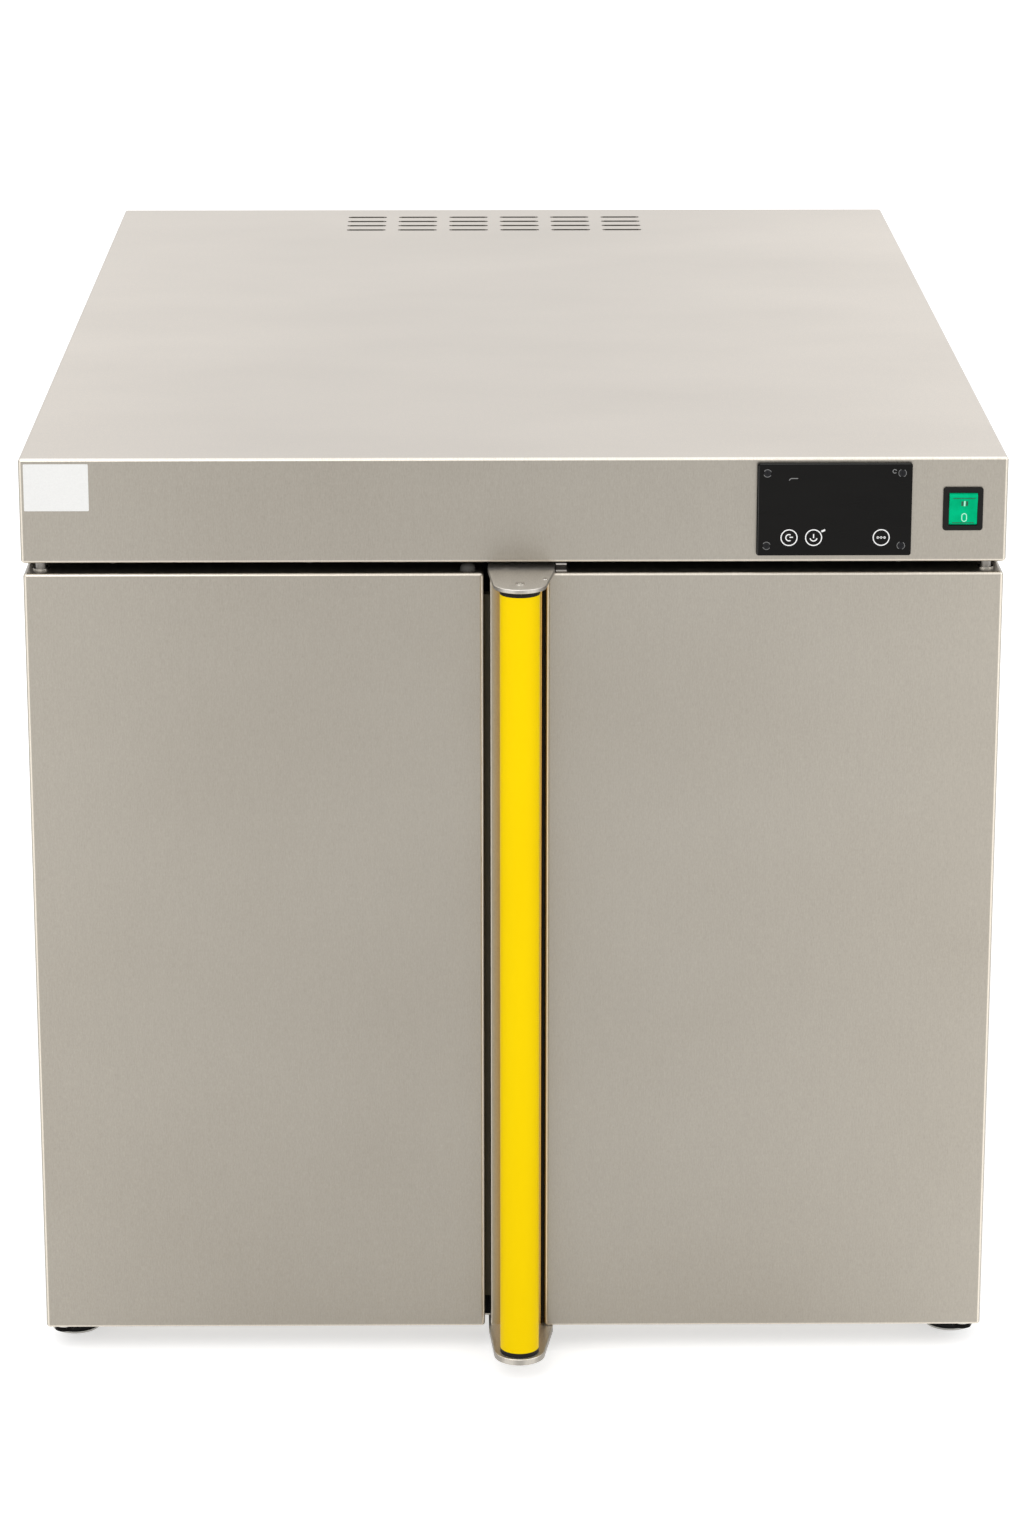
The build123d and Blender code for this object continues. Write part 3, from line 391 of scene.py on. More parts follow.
@dataclass(frozen=True)
class BrushedSheet(Finish):
    """Ground stainless sheet with fine streaks and soft clouds, painted highlights on its bends, painted side
    light, a painted lighter top and a painted reflection of the yellow grip tube.
    """

    name: str
    colour: Colour
    grain: Grain = Grain.UPRIGHT
    streaks: float = 0.26
    clouds: float = 0.10
    rough: float = 0.36
    painted_top_light: Colour | None = None
    bend_highlight_gain: float = 2.0
    painted_side_light_gain: float = 0.0
    tube_reflection_from: float | None = None
    tube_reflection_to: float = 0.0
    tube_reflection_colour: Colour = (0.42, 0.27, 0.07)
    relief: float = 0.12
    fine_scale: float = 1150.0
    wide_scale: float = 300.0
    speck_scale: float = 850.0
    cloud_scale: float = 5.5
    side_light_reach: float = 0.36

    def streak(self, bench: Bench) -> Wire:
        """Brushing marks, from 0 to 1.

        Args:
            bench: The material's bench.

        Returns:
            The marks.
        """
        fine = bench.noise(self.grain.value, self.fine_scale, 1.0, 0.5)
        wide = bench.noise(self.grain.value, self.wide_scale, 2.0, 0.5)
        speck = bench.noise((1.0, 1.0, 0.6), self.speck_scale, 1.0, 0.5)
        return fine * 0.45 + wide * 0.15 + speck * 0.4

    def tone(self, bench: Bench, streak: Wire, cloud: Wire) -> Wire:
        """Brightness factor of the surface, with painted side light and painted highlights on its bends.

        Args:
            bench: The material's bench.
            streak: The brushing marks.
            cloud: The soft clouds.

        Returns:
            The factor.
        """
        tone = 1.0 + (streak - 0.5) * (2.0 * self.streaks) + (cloud - 0.5) * (2.0 * self.clouds)
        # painted side light: the sheet is made brighter towards its left and right sides, more so on the
        # right
        if self.painted_side_light_gain:
            side = bench.parts(bench.place())[0] / self.side_light_reach
            tone = tone * (1.0 + side * side * self.painted_side_light_gain + side * (0.25 * self.painted_side_light_gain))
        # painted highlight: the sheet's bends are made brighter by surface direction
        return tone * (1.0 + bench.level_bend_highlight().most(bench.upright_bend_highlight()) * (self.bend_highlight_gain - 1.0))

    def hue(self, bench: Bench, cloud: Wire) -> Wire:
        """Colour of the surface before its brightness, with a painted lighter top and a painted reflection of
        the yellow grip tube.

        Args:
            bench: The material's bench.
            cloud: The soft clouds.

        Returns:
            The colour.
        """
        cool = tuple(part * share for part, share in zip(self.colour, (0.975, 1.0, 1.03)))
        colour = bench.blend(cloud, self.colour, cool)
        # painted light: faces that look up are blended into a lighter top colour
        if self.painted_top_light:
            colour = bench.blend(bench.span(bench.upward(), 0.3, 0.9), colour, self.painted_top_light)
        # painted reflection of the yellow grip tube: a warm tint near one upright edge, set by place on the
        # piece
        if self.tube_reflection_from is not None:
            reflection_share = bench.span(bench.parts(bench.place())[0], self.tube_reflection_from, self.tube_reflection_to)
            colour = bench.blend(reflection_share, colour, self.tube_reflection_colour)
        return colour

    def make(self) -> bpy.types.Material:
        """Builds the material."""
        bench = Bench(bpy.data.materials.new(self.name))
        streak = self.streak(bench)
        cloud = bench.noise((0.6, 1.0, 0.7), self.cloud_scale, 3.0, 0.5)
        rough = bench.span(streak, 0.3, 0.7, self.rough - 0.06, self.rough + 0.07)
        return bench.surface({
            "Base Color": bench.shaded(self.hue(bench, cloud), self.tone(bench, streak, cloud)),
            "Metallic": 1.0,
            "Roughness": rough,
            "Normal": bench.bump(streak, self.relief, 0.00012),
        })


@dataclass(frozen=True)
class TurnedSteel(Finish):
    """Machined or plated steel of small parts."""

    name: str
    colour: Colour
    rough: float = 0.24
    mottle: float = 0.10

    def make(self) -> bpy.types.Material:
        """Builds the material."""
        bench = Bench(bpy.data.materials.new(self.name))
        ring = bench.noise((1.0, 1.0, 6.0), 700.0, 2.0)
        stain = bench.noise((1.0, 1.0, 1.0), 60.0, 3.0)
        tone = 1.0 + (ring - 0.5) * 0.12 + (stain - 0.5) * (2.0 * self.mottle)
        return bench.surface({
            "Base Color": bench.shaded(self.colour, tone),
            "Metallic": 1.0,
            "Roughness": bench.span(stain, 0.3, 0.7, self.rough - 0.05, self.rough + 0.08),
            "Normal": bench.bump(ring, 0.1, 0.0001),
        })


@dataclass(frozen=True)
class PowderCoat(Finish):
    """Baked colour coat with a faint peel."""

    name: str
    colour: Colour
    edge: Colour
    rough: float = 0.38
    peel: float = 0.12

    def make(self) -> bpy.types.Material:
        """Builds the material."""
        bench = Bench(bpy.data.materials.new(self.name))
        peel = bench.noise((1.0, 1.0, 0.6), 420.0, 2.0)
        patch = bench.noise((1.0, 1.0, 0.35), 14.0, 3.0)
        colour = bench.blend(bench.span(patch, 0.3, 0.75), self.colour, self.edge)
        return bench.surface({
            "Base Color": colour,
            "Roughness": bench.span(patch, 0.3, 0.7, self.rough - 0.04, self.rough + 0.06),
            "Specular IOR Level": 0.04,
            "Normal": bench.bump(peel, self.peel, 0.0001),
        })


@dataclass(frozen=True)
class Moulding(Finish):
    """Moulded plastic or rubber with a fine spark texture."""

    name: str
    colour: Colour
    rough: float = 0.45
    spark: float = 0.25
    dust: float = 0.25

    def make(self) -> bpy.types.Material:
        """Builds the material."""
        bench = Bench(bpy.data.materials.new(self.name))
        spark = bench.noise((1.0, 1.0, 1.0), 1600.0, 2.0)
        patch = bench.noise((1.0, 1.0, 1.0), 35.0, 3.0)
        tone = 1.0 + (patch - 0.5) * (2.0 * self.dust) + (spark - 0.5) * 0.12
        return bench.surface({
            "Base Color": bench.shaded(self.colour, tone),
            "Roughness": bench.span(patch, 0.3, 0.7, self.rough - 0.05, self.rough + 0.07),
            "Specular IOR Level": 0.15,
            "Normal": bench.bump(spark, self.spark, 0.00012),
        })


@dataclass(frozen=True)
class FrontFilm(Finish):
    """Polished black front film with faint smears."""

    name: str = "control_front_film"
    colour: Colour = (0.0070, 0.0066, 0.0062)

    def make(self) -> bpy.types.Material:
        """Builds the material."""
        bench = Bench(bpy.data.materials.new(self.name))
        smear = bench.noise((1.0, 1.0, 3.0), 22.0, 4.0)
        dust = bench.noise((1.0, 1.0, 1.0), 1400.0, 1.0)
        tone = 1.0 + (smear - 0.5) * 0.5 + bench.span(dust, 0.68, 0.76, 0.0, 0.8)
        return bench.surface({
            "Base Color": bench.shaded(self.colour, tone),
            "Roughness": bench.span(smear, 0.3, 0.7, 0.24, 0.36),
            "Specular IOR Level": 0.08,
            "Normal": bench.bump(dust, 0.04, 0.0001),
        })


@dataclass(frozen=True)
class LitPlastic(Finish):
    """Translucent green plastic that glows a little."""

    name: str = "rocker_green"
    colour: Colour = (0.0005, 0.48, 0.215)
    deep: Colour = (0.0, 0.40, 0.17)
    glow: float = 0.10

    def make(self) -> bpy.types.Material:
        """Builds the material."""
        bench = Bench(bpy.data.materials.new(self.name))
        patch = bench.noise((1.0, 1.0, 1.0), 120.0, 2.0)
        colour = bench.blend(bench.span(patch, 0.3, 0.7), self.colour, self.deep)
        return bench.surface({
            "Base Color": colour,
            "Roughness": bench.span(patch, 0.3, 0.7, 0.3, 0.42),
            "Specular IOR Level": 0.02,
            "Emission Color": colour,
            "Emission Strength": self.glow,
        })


@dataclass(frozen=True)
class PressedWool(Finish):
    """Mineral wool slab: matted fibres."""

    name: str = "pressed_wool"
    colour: Colour = (0.56, 0.46, 0.24)
    dark: Colour = (0.36, 0.28, 0.13)

    def make(self) -> bpy.types.Material:
        """Builds the material."""
        bench = Bench(bpy.data.materials.new(self.name))
        fibre = bench.noise((1.0, 0.25, 3.0), 260.0, 5.0, 0.7)
        clump = bench.noise((1.0, 1.0, 1.0), 30.0, 3.0)
        colour = bench.blend(bench.span(fibre + clump * 0.4, 0.5, 0.95), self.dark, self.colour)
        return bench.surface({
            "Base Color": colour,
            "Roughness": 0.95,
            "Normal": bench.bump(fibre, 0.8, 0.002),
        })


@dataclass(frozen=True)
class PrintedInk(Finish):
    """Thin printed marks, also used for painted highlights and painted shadows."""

    name: str
    colour: Colour
    glow: float = 0.0
    wear: float = 0.10

    def make(self) -> bpy.types.Material:
        """Builds the material."""
        bench = Bench(bpy.data.materials.new(self.name))
        wear = bench.noise((1.0, 1.0, 1.0), 900.0, 2.0)
        tone = bench.span(wear, 0.3, 0.7, 1.0 - self.wear, 1.0 + self.wear / 2)
        return bench.surface({
            "Base Color": bench.shaded(self.colour, tone),
            "Roughness": 0.5,
            "Emission Color": self.colour,
            "Emission Strength": self.glow,
        })


STEEL: Colour = (0.325, 0.296, 0.253)
DOOR_SHEET = BrushedSheet("ground_left_door_sheet", STEEL, painted_side_light_gain=0.13)
# right door: painted reflection of the yellow grip tube along its left edge
RIGHT_DOOR_SHEET = BrushedSheet(
    "ground_right_door_sheet", STEEL, painted_side_light_gain=0.15,
    tube_reflection_from=0.0285, tube_reflection_to=0.0268, tube_reflection_colour=(0.36, 0.24, 0.07),
)
HOOD_SHEET = BrushedSheet("ground_hood_sheet", STEEL, painted_side_light_gain=0.10, painted_top_light=(0.565, 0.520, 0.466))
# centre strip: painted reflection of the yellow grip tube, growing towards the tube
STRIP_SHEET = BrushedSheet(
    "ground_strip_sheet", (0.33, 0.30, 0.25), clouds=0.05, tube_reflection_from=-0.0185, tube_reflection_to=-0.0105
)
PLATE_SHEET = BrushedSheet(
    "ground_handle_plate", (0.36, 0.335, 0.30), clouds=0.05, rough=0.46,
    painted_top_light=(0.74, 0.71, 0.66), bend_highlight_gain=1.5,
)
CASE_SHEET = BrushedSheet("ground_case_sheet", (0.40, 0.37, 0.32), Grain.LENGTHWISE)
INNER_SHEET = BrushedSheet(
    "smooth_chamber_sheet", (0.56, 0.54, 0.50), Grain.LENGTHWISE,
    streaks=0.10, clouds=0.06, rough=0.30, bend_highlight_gain=1.2,
)
TRAY_SHEET = BrushedSheet(
    "smooth_tray_sheet", (0.54, 0.52, 0.49), streaks=0.10, clouds=0.06, rough=0.28, bend_highlight_gain=1.2
)
BRIGHT = TurnedSteel("bright_steel", (0.62, 0.60, 0.56))
PIN_STEEL = TurnedSteel("hinge_pin_steel", (0.27, 0.255, 0.235), 0.38)
CATCH_STEEL = TurnedSteel("spring_steel", (0.34, 0.32, 0.30), 0.35)
SCORCHED = TurnedSteel("heat_darkened_steel", (0.20, 0.17, 0.145), 0.42, 0.3)
PAD_METAL = TurnedSteel("foot_disc_metal", (0.50, 0.49, 0.46), 0.32)
YELLOW = PowderCoat("yellow_grip_coat", (0.99, 0.70, 0.0008), (0.98, 0.665, 0.0008))
BLACK_STEEL = PowderCoat("blackened_screw", (0.020, 0.020, 0.022), (0.030, 0.030, 0.032), 0.34)
# painted shade: face frame, hood base and bottom hinge brackets are near black so the gaps round the doors
# read as deep shade
PAINTED_SHADE_FRAME = PowderCoat("painted_shade_frame_coat", (0.0075, 0.0072, 0.0068), (0.0105, 0.010, 0.0095), 0.5)
MOTOR_COAT = PowderCoat("motor_enamel", (0.035, 0.038, 0.042), (0.05, 0.052, 0.056), 0.45)
BLACK_PLASTIC = Moulding("black_moulding", (0.0085, 0.0080, 0.0075), 0.42)
RUBBER = Moulding("black_rubber", (0.013, 0.0125, 0.012), 0.62)
SEAL_RUBBER = Moulding("seal_rubber", (0.095, 0.083, 0.058), 0.6)
BUFFER_RUBBER = Moulding("buffer_rubber", (0.060, 0.058, 0.054), 0.5)
SILICONE = Moulding("grey_silicone", (0.060, 0.060, 0.064), 0.6)
PALE = Moulding("pale_moulding", (0.62, 0.60, 0.54), 0.5, 0.15, 0.08)
BOARD = Moulding("board_green", (0.012, 0.10, 0.035), 0.4, 0.2, 0.2)
FILM = FrontFilm()
GREEN = LitPlastic()
WOOL = PressedWool()
WHITE_INK = PrintedInk("white_print", (0.95, 0.95, 0.95))
# painted highlight along the control panel's top and left edge
EDGE_HIGHLIGHT_PAINT = PrintedInk("edge_highlight_paint", (0.055, 0.055, 0.053))
# grey print of the display marks, and painted highlights on the panel's screw rims
GREY_PRINT_AND_HIGHLIGHT = PrintedInk("grey_print_and_highlight", (0.22, 0.22, 0.22))
MINT_INK = PrintedInk("mint_print", (0.45, 0.92, 0.72), 0.05)
# painted shadows beside the rocker's I, and dark lines across the rocker
ROCKER_SHADOW_AND_LINES = PrintedInk("rocker_shadow_and_dark_lines", (0.004, 0.075, 0.035))
LABEL_WHITE = PrintedInk("label_paper", (0.84, 0.84, 0.83), wear=0.03)


@dataclass(frozen=True)
class Sheetface:
    """A flat face to draw on: its origin and its right and up directions."""

    origin: tuple[float, float, float]
    right: tuple[float, float, float] = (1.0, 0.0, 0.0)
    up: tuple[float, float, float] = (0.0, 0.0, 1.0)

    def at(self, x: float, y: float, lift: float) -> Vector:
        """Point over the face.

        Args:
            x: Distance to the right, in millimetres.
            y: Distance upwards, in millimetres.
            lift: Distance off the face, in millimetres.

        Returns:
            The point in metres.
        """
        right, up = Vector(self.right), Vector(self.up)
        out = right.cross(up)
        return Vector(self.origin) + MM * (x * right + y * up + lift * out)


@dataclass
class Stencil:
    """Thin raised marks on a flat face, drawn as strokes and discs."""

    name: str
    face: Sheetface
    height: float = 0.12
    mesh: bmesh.types.BMesh = field(default_factory=bmesh.new)

    def _slab(self, outline: list[Point]) -> None:
        """Adds one convex slab.

        Args:
            outline: Its corners, turning left.
        """
        top = [self.mesh.verts.new(self.face.at(x, y, self.height)) for x, y in outline]
        low = [self.mesh.verts.new(self.face.at(x, y, 0.0)) for x, y in outline]
        self.mesh.faces.new(top)
        self.mesh.faces.new(list(reversed(low)))
        for index in range(len(outline)):
            after = (index + 1) % len(outline)
            self.mesh.faces.new((top[index], low[index], low[after], top[after]))

    def disc(self, x: float, y: float, radius: float, sides: int = 20) -> None:
        """Adds a round dot.

        Args:
            x: Its middle, to the right.
            y: Its middle, upwards.
            radius: Its radius.
            sides: Its corners.
        """
        turn = math.tau / sides
        self._slab([(x + radius * math.cos(turn * i), y + radius * math.sin(turn * i)) for i in range(sides)])

    def stroke(self, points: list[Point], width: float) -> None:
        """Adds a line of straight runs.

        Args:
            points: Its corners.
            width: Its width.
        """
        for (ax, ay), (bx, by) in zip(points, points[1:]):
            length = math.hypot(bx - ax, by - ay)
            nx, ny = -(by - ay) / length * width / 2, (bx - ax) / length * width / 2
            self._slab([(ax - nx, ay - ny), (bx - nx, by - ny), (bx + nx, by + ny), (ax + nx, ay + ny)])

    def arc(self, x: float, y: float, radius: float, start: float, end: float, width: float) -> None:
        """Adds a curved line.

        Args:
            x: Its centre, to the right.
            y: Its centre, upwards.
            radius: Its radius.
            start: Where it starts, in degrees.
            end: Where it ends, in degrees.
            width: Its width.
        """
        steps = max(LEAST_STEPS, int(abs(end - start) / ARC_STEP))
        angles = [math.radians(start + (end - start) * i / steps) for i in range(steps)]
        step = math.radians((end - start) / steps)
        inner, outer = radius - width / 2, radius + width / 2
        for angle in angles:
            corners = ((inner, angle), (outer, angle), (outer, angle + step), (inner, angle + step))
            self._slab([(x + r * math.cos(a), y + r * math.sin(a)) for r, a in corners])

    def finish(self, coat: Finish, body: str = "cabinet") -> None:
        """Turns the strokes into a piece that rides on a body.

        Args:
            coat: The finish.
            body: The body's name.
        """
        bmesh.ops.recalc_face_normals(self.mesh, faces=self.mesh.faces)
        add_piece(self.name, self.mesh, body, coat)


def add_piece(name: str, mesh: bmesh.types.BMesh, body: str, coat: Finish) -> None:
    """Turns a mesh into a finished piece on a body.

    Args:
        name: The piece's name.
        mesh: Its mesh in the shared frame, which this frees.
        body: The body that it rides on.
        coat: Its finish.
    """
    data = bpy.data.meshes.new(name)
    mesh.to_mesh(data)
    mesh.free()
    piece = bpy.data.objects.new(name, data)
    bpy.context.scene.collection.objects.link(piece)
    coat.paint(piece)
    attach(piece, body)
    log.info("piece %s on %s", name, body)


def middle(name: str) -> Vector:
    """Middle of a CAD node's box.

    Args:
        name: The node's name.

    Returns:
        The middle, in metres.
    """
    low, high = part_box(name)
    return (low + high) / 2


@dataclass
class Hood:
    """Control hood, its base plate and screws, and the blank plate on its front."""

    plate_left: float = 4.1
    plate_drop: float = 4.4
    plate_width: float = 52.4
    plate_height: float = 38.8
    plate_thickness: float = 0.25
    plate_corner: float = 0.8
    corner_steps: int = 5

    def dress(self) -> None:
        """Coats the hood's sheets and screws."""
        HOOD_SHEET.coat("hood")
        # painted shade: the hood's base plate is coated near black
        PAINTED_SHADE_FRAME.coat("hood_base")
        BRIGHT.coat("hood_screws")

    def build_plate(self) -> None:
        """Blank white plate at the left of the hood's front."""
        low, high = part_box("hood")
        corner = (low.x + self.plate_left * MM, low.y, high.z - (self.plate_drop + self.plate_height) * MM)
        face = Sheetface(corner)
        mesh = bmesh.new()
        radius, steps = self.plate_corner, self.corner_steps
        outline: list[Point] = []
        for cx, cy, start in ((1, 0, -90), (1, 1, 0), (0, 1, 90), (0, 0, 180)):
            x = cx * self.plate_width + (radius if cx == 0 else -radius)
            y = cy * self.plate_height + (radius if cy == 0 else -radius)
            for step in range(steps + 1):
                angle = math.radians(start + 90 * step / steps)
                outline.append((x + radius * math.cos(angle), y + radius * math.sin(angle)))
        top = mesh.faces.new([mesh.verts.new(face.at(x, y, self.plate_thickness)) for x, y in outline])
        back = mesh.faces.new([mesh.verts.new(face.at(x, y, 0.0)) for x, y in reversed(outline)])
        bmesh.ops.bridge_loops(mesh, edges=list(top.edges) + list(back.edges))
        bmesh.ops.recalc_face_normals(mesh, faces=mesh.faces)
        add_piece("blank_front_plate", mesh, "cabinet", LABEL_WHITE)

    def build(self) -> None:
        """Dresses the hood and adds its plate."""
        self.dress()
        self.build_plate()


@dataclass
class ControlPanel:
    """Black controller front with three touch keys, small printed marks, and painted highlights round its
    corner screws and along its top and left edge.
    """

    key_height: float = -23.3
    key_left: float = -36.3
    key_middle: float = -16.4
    key_right: float = 38.4
    ring_radius: float = 6.5
    ring_width: float = 0.85
    screw_x: float = 54.5
    screw_y: float = 30.05
    rim_radius: float = 3.1
    edge_x: float = 60.6
    edge_y: float = 37.7
    rim_highlight_line: float = 0.45
    edge_highlight_line: float = 0.35
    side_highlight_line: float = 0.3
    side_shift: float = 0.9
    side_drop: float = 1.4
    sign_line: float = 0.9
    timer_radius: float = 2.6
    timer_hand_start: float = 0.4
    timer_hand_end: float = 3.2
    timer_hand_rise: float = 0.3
    set_radius: float = 2.8
    set_stem_top: float = 3.0
    set_stem_foot: float = -0.4
    set_tick: tuple[Point, Point] = ((6.2, 5.0), (9.2, 6.4))
    set_tick_line: float = 1.5
    dot_step: float = 2.7
    dot_radius: float = 0.95
    dot_bar_half: float = 3.2
    dot_bar_line: float = 0.5
    display_sign: tuple[Point, ...] = ((-37.0, 24.2), (-35.6, 25.8), (-29.8, 25.8))
    display_line: float = 0.7
    corner_sign: Point = (48.2, 31.6)
    corner_radius: float = 1.5
    corner_line: float = 0.6

    def dress(self) -> None:
        """Coats the panel and its screws."""
        FILM.coat("control_panel")
        BLACK_STEEL.coat("panel_screws")

    def face(self) -> Sheetface:
        """The panel's outer face, with its origin in the middle."""
        centre = middle("control_panel")
        low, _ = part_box("control_panel")
        return Sheetface((centre.x, low.y, centre.z))

    def build_keys(self) -> None:
        """Rings round the touch keys and the plain signs inside them."""
        y = self.key_height
        rings = Stencil("touch_key_rings", self.face())
        for x in (self.key_left, self.key_middle, self.key_right):
            rings.arc(x, y, self.ring_radius, 0, 360, self.ring_width)
        rings.finish(WHITE_INK)
        x = self.key_left
        timer = Stencil("touch_key_timer_sign", self.face())
        timer.arc(x, y, self.timer_radius, 60, 300, self.sign_line)
        level = y + self.timer_hand_rise
        timer.stroke([(x + self.timer_hand_start, level), (x + self.timer_hand_end, level)], self.sign_line)
        timer.finish(WHITE_INK)
        x = self.key_middle
        setting = Stencil("touch_key_set_sign", self.face())
        setting.arc(x, y, self.set_radius, 190, 350, self.sign_line)
        setting.stroke([(x, y + self.set_stem_top), (x, y + self.set_stem_foot)], self.sign_line)
        setting.stroke([(x + across, y + rise) for across, rise in self.set_tick], self.set_tick_line)
        setting.finish(WHITE_INK)
        x = self.key_right
        menu = Stencil("touch_key_menu_sign", self.face())
        for step in (-self.dot_step, 0.0, self.dot_step):
            menu.disc(x + step, y, self.dot_radius)
        menu.stroke([(x - self.dot_bar_half, y), (x + self.dot_bar_half, y)], self.dot_bar_line)
        menu.finish(WHITE_INK)

    def build_marks(self) -> None:
        """Small marks of the dark display."""
        marks = Stencil("display_marks", self.face())
        marks.stroke(list(self.display_sign), self.display_line)
        marks.arc(*self.corner_sign, self.corner_radius, 20, 320, self.corner_line)
        marks.finish(GREY_PRINT_AND_HIGHLIGHT)

    def build_rims(self) -> None:
        """Painted highlights: broken arcs on the rims of the corner screws, and lines along the panel's top
        and left edge.
        """
        rim_highlights = Stencil("panel_screw_rims", self.face())
        for x, turn in ((-self.screw_x, 0), (self.screw_x, 90)):
            for y in (-self.screw_y, self.screw_y):
                rim_highlights.arc(x, y, self.rim_radius, turn + 20, turn + 150, self.rim_highlight_line)
                rim_highlights.arc(x, y, self.rim_radius, turn + 200, turn + 330, self.rim_highlight_line)
        rim_highlights.finish(GREY_PRINT_AND_HIGHLIGHT)
        # painted highlight along the panel's top and left edge
        edge = Stencil("panel_edge_line", self.face())
        edge.stroke([(-self.edge_x, self.edge_y), (self.edge_x, self.edge_y)], self.edge_highlight_line)
        side = -self.edge_x - self.side_shift
        edge.stroke([(side, self.edge_y - self.side_drop), (side, -self.edge_y)], self.side_highlight_line)
        edge.finish(EDGE_HIGHLIGHT_PAINT)

    def build(self) -> None:
        """Dresses the panel and adds its print and painted highlights."""
        self.dress()
        self.build_keys()
        self.build_marks()
        self.build_rims()


@dataclass
class PowerSwitch:
    """Rocker switch: black housing and green rocker with its I and 0."""

    ridge: float = 4.2
    dip: float = 2.4
    end: float = 12.6
    tilt: float = 8.0
    sign_shift: float = 0.9
    shadow_height: float = 0.10
    sign_height: float = 0.14
    on_foot: float = 3.2
    on_head: float = 7.8
    on_line: float = 1.3
    flank_shift: float = 1.9
    flank_foot: float = 3.4
    flank_head: float = 7.6
    flank_line: float = 1.5
    # dark lines across the rocker near its top and its foot
    head_dark_line: tuple[Point, Point] = ((-8.6, 10.3), (9.4, 10.3))
    head_dark_line_width: float = 0.55
    foot_dark_line: tuple[Point, Point] = ((-8.8, -11.0), (8.8, -11.0))
    foot_dark_line_width: float = 0.5
    off_head: float = -5.3
    off_foot: float = -7.9
    off_radius: float = 1.9
    off_line: float = 0.7

    def dress(self) -> None:
        """Coats the housing and the rocker."""
        BLACK_PLASTIC.coat("switch_housing")
        GREEN.coat("switch_rocker")

    def half_face(self, sign: int) -> Sheetface:
        """Flat half of the rocker's front, from its axis to one end.

        Args:
            sign: 1 for the upper half and -1 for the lower one.

        Returns:
            The face, with its origin on the dip.
        """
        pivot = middle("switch_housing")
        rock = math.radians(self.tilt)
        turn = rock + sign * math.atan2(self.ridge - self.dip, self.end)
        low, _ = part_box("hood")
        depth = self.dip * MM
        origin = (pivot.x, low.y - depth * math.cos(rock), pivot.z - depth * math.sin(rock))
        return Sheetface(origin, up=(0.0, -math.sin(turn), math.cos(turn)))

    def build_signs(self) -> None:
        """The I above with its shadows, and the 0 below."""
        x, radius, line = self.sign_shift, self.off_radius, self.off_line
        upper = self.half_face(1)
        flank = Stencil("rocker_on_shadow", upper, self.shadow_height)
        for side in (x - self.flank_shift, x + self.flank_shift):
            flank.stroke([(side, self.flank_foot), (side, self.flank_head)], self.flank_line)
        # dark line across the rocker near its top
        flank.stroke(list(self.head_dark_line), self.head_dark_line_width)
        flank.finish(ROCKER_SHADOW_AND_LINES, "power_rocker")
        on_sign = Stencil("rocker_on_sign", upper, self.sign_height)
        on_sign.stroke([(x, self.on_foot), (x, self.on_head)], self.on_line)
        on_sign.finish(MINT_INK, "power_rocker")
        lower = self.half_face(-1)
        off_sign = Stencil("rocker_off_sign", lower, self.sign_height)
        off_sign.arc(x, self.off_head, radius, 0, 180, line)
        off_sign.arc(x, self.off_foot, radius, 180, 360, line)
        off_sign.stroke([(x - radius, self.off_head), (x - radius, self.off_foot)], line)
        off_sign.stroke([(x + radius, self.off_foot), (x + radius, self.off_head)], line)
        off_sign.finish(MINT_INK, "power_rocker")
        foot = Stencil("rocker_foot_line", lower, self.shadow_height)
        foot.stroke(list(self.foot_dark_line), self.foot_dark_line_width)
        foot.finish(ROCKER_SHADOW_AND_LINES, "power_rocker")

    def build(self) -> None:
        """Dresses the switch and adds its signs."""
        self.dress()
        self.build_signs()


@dataclass
class Casing:
    """Outer sheets, face frame, feet and hinges."""

    def build(self) -> None:
        """Coats the casing's pieces."""
        CASE_SHEET.coat("left_side_panel", "right_side_panel", "base_panel", "rear_panel")
        # painted shade: face frame and bottom hinge brackets are coated near black
        PAINTED_SHADE_FRAME.coat("frame_stiles", "frame_rails", "centre_mullion", "bottom_hinge_brackets")
        RUBBER.coat("feet")
        PAD_METAL.coat("foot_pads")
        PIN_STEEL.coat("top_hinge_pins")
        BRIGHT.coat("hinge_washers")
        BLACK_PLASTIC.coat("cable_gland", "gland_locknut")


@dataclass
class Chamber:
    """Heated chamber: its sheets, wool, rails and trays."""

    def build(self) -> None:
        """Coats the chamber's pieces."""
        INNER_SHEET.coat("chamber_side_walls", "chamber_floor", "chamber_ceiling", "chamber_rear_wall")
        INNER_SHEET.coat("side_tray_rails", "centre_tray_rails", "centre_posts", "fan_baffle")
        TRAY_SHEET.coat("left_trays", "right_trays")
        WOOL.coat("chamber_insulation")


@dataclass
class HeatingUnit:
    """Fan, motor, ring heater and probe."""

    def build(self) -> None:
        """Coats the unit's pieces."""
        BRIGHT.coat("fan_wheel", "fan_shaft", "temperature_probe")
        MOTOR_COAT.coat("fan_motor")
        SCORCHED.coat("ring_heater")


@dataclass
class Electrics:
    """Control electrics inside the hood."""

    def build(self) -> None:
        """Coats the electrical pieces."""
        BOARD.coat("control_board")
        BLACK_PLASTIC.coat("power_relay")
        PALE.coat("terminal_block", "safety_thermostat")


@dataclass
class Door:
    """One door: skin, liner, wool, gasket and bushes."""

    side: str
    skin: BrushedSheet

    def build(self) -> None:
        """Coats the door's pieces."""
        self.skin.coat(f"{self.side}_door_skin")
        INNER_SHEET.coat(f"{self.side}_door_liner")
        WOOL.coat(f"{self.side}_door_insulation")
        SILICONE.coat(f"{self.side}_door_gasket")
        BRIGHT.coat(f"{self.side}_door_bushes")


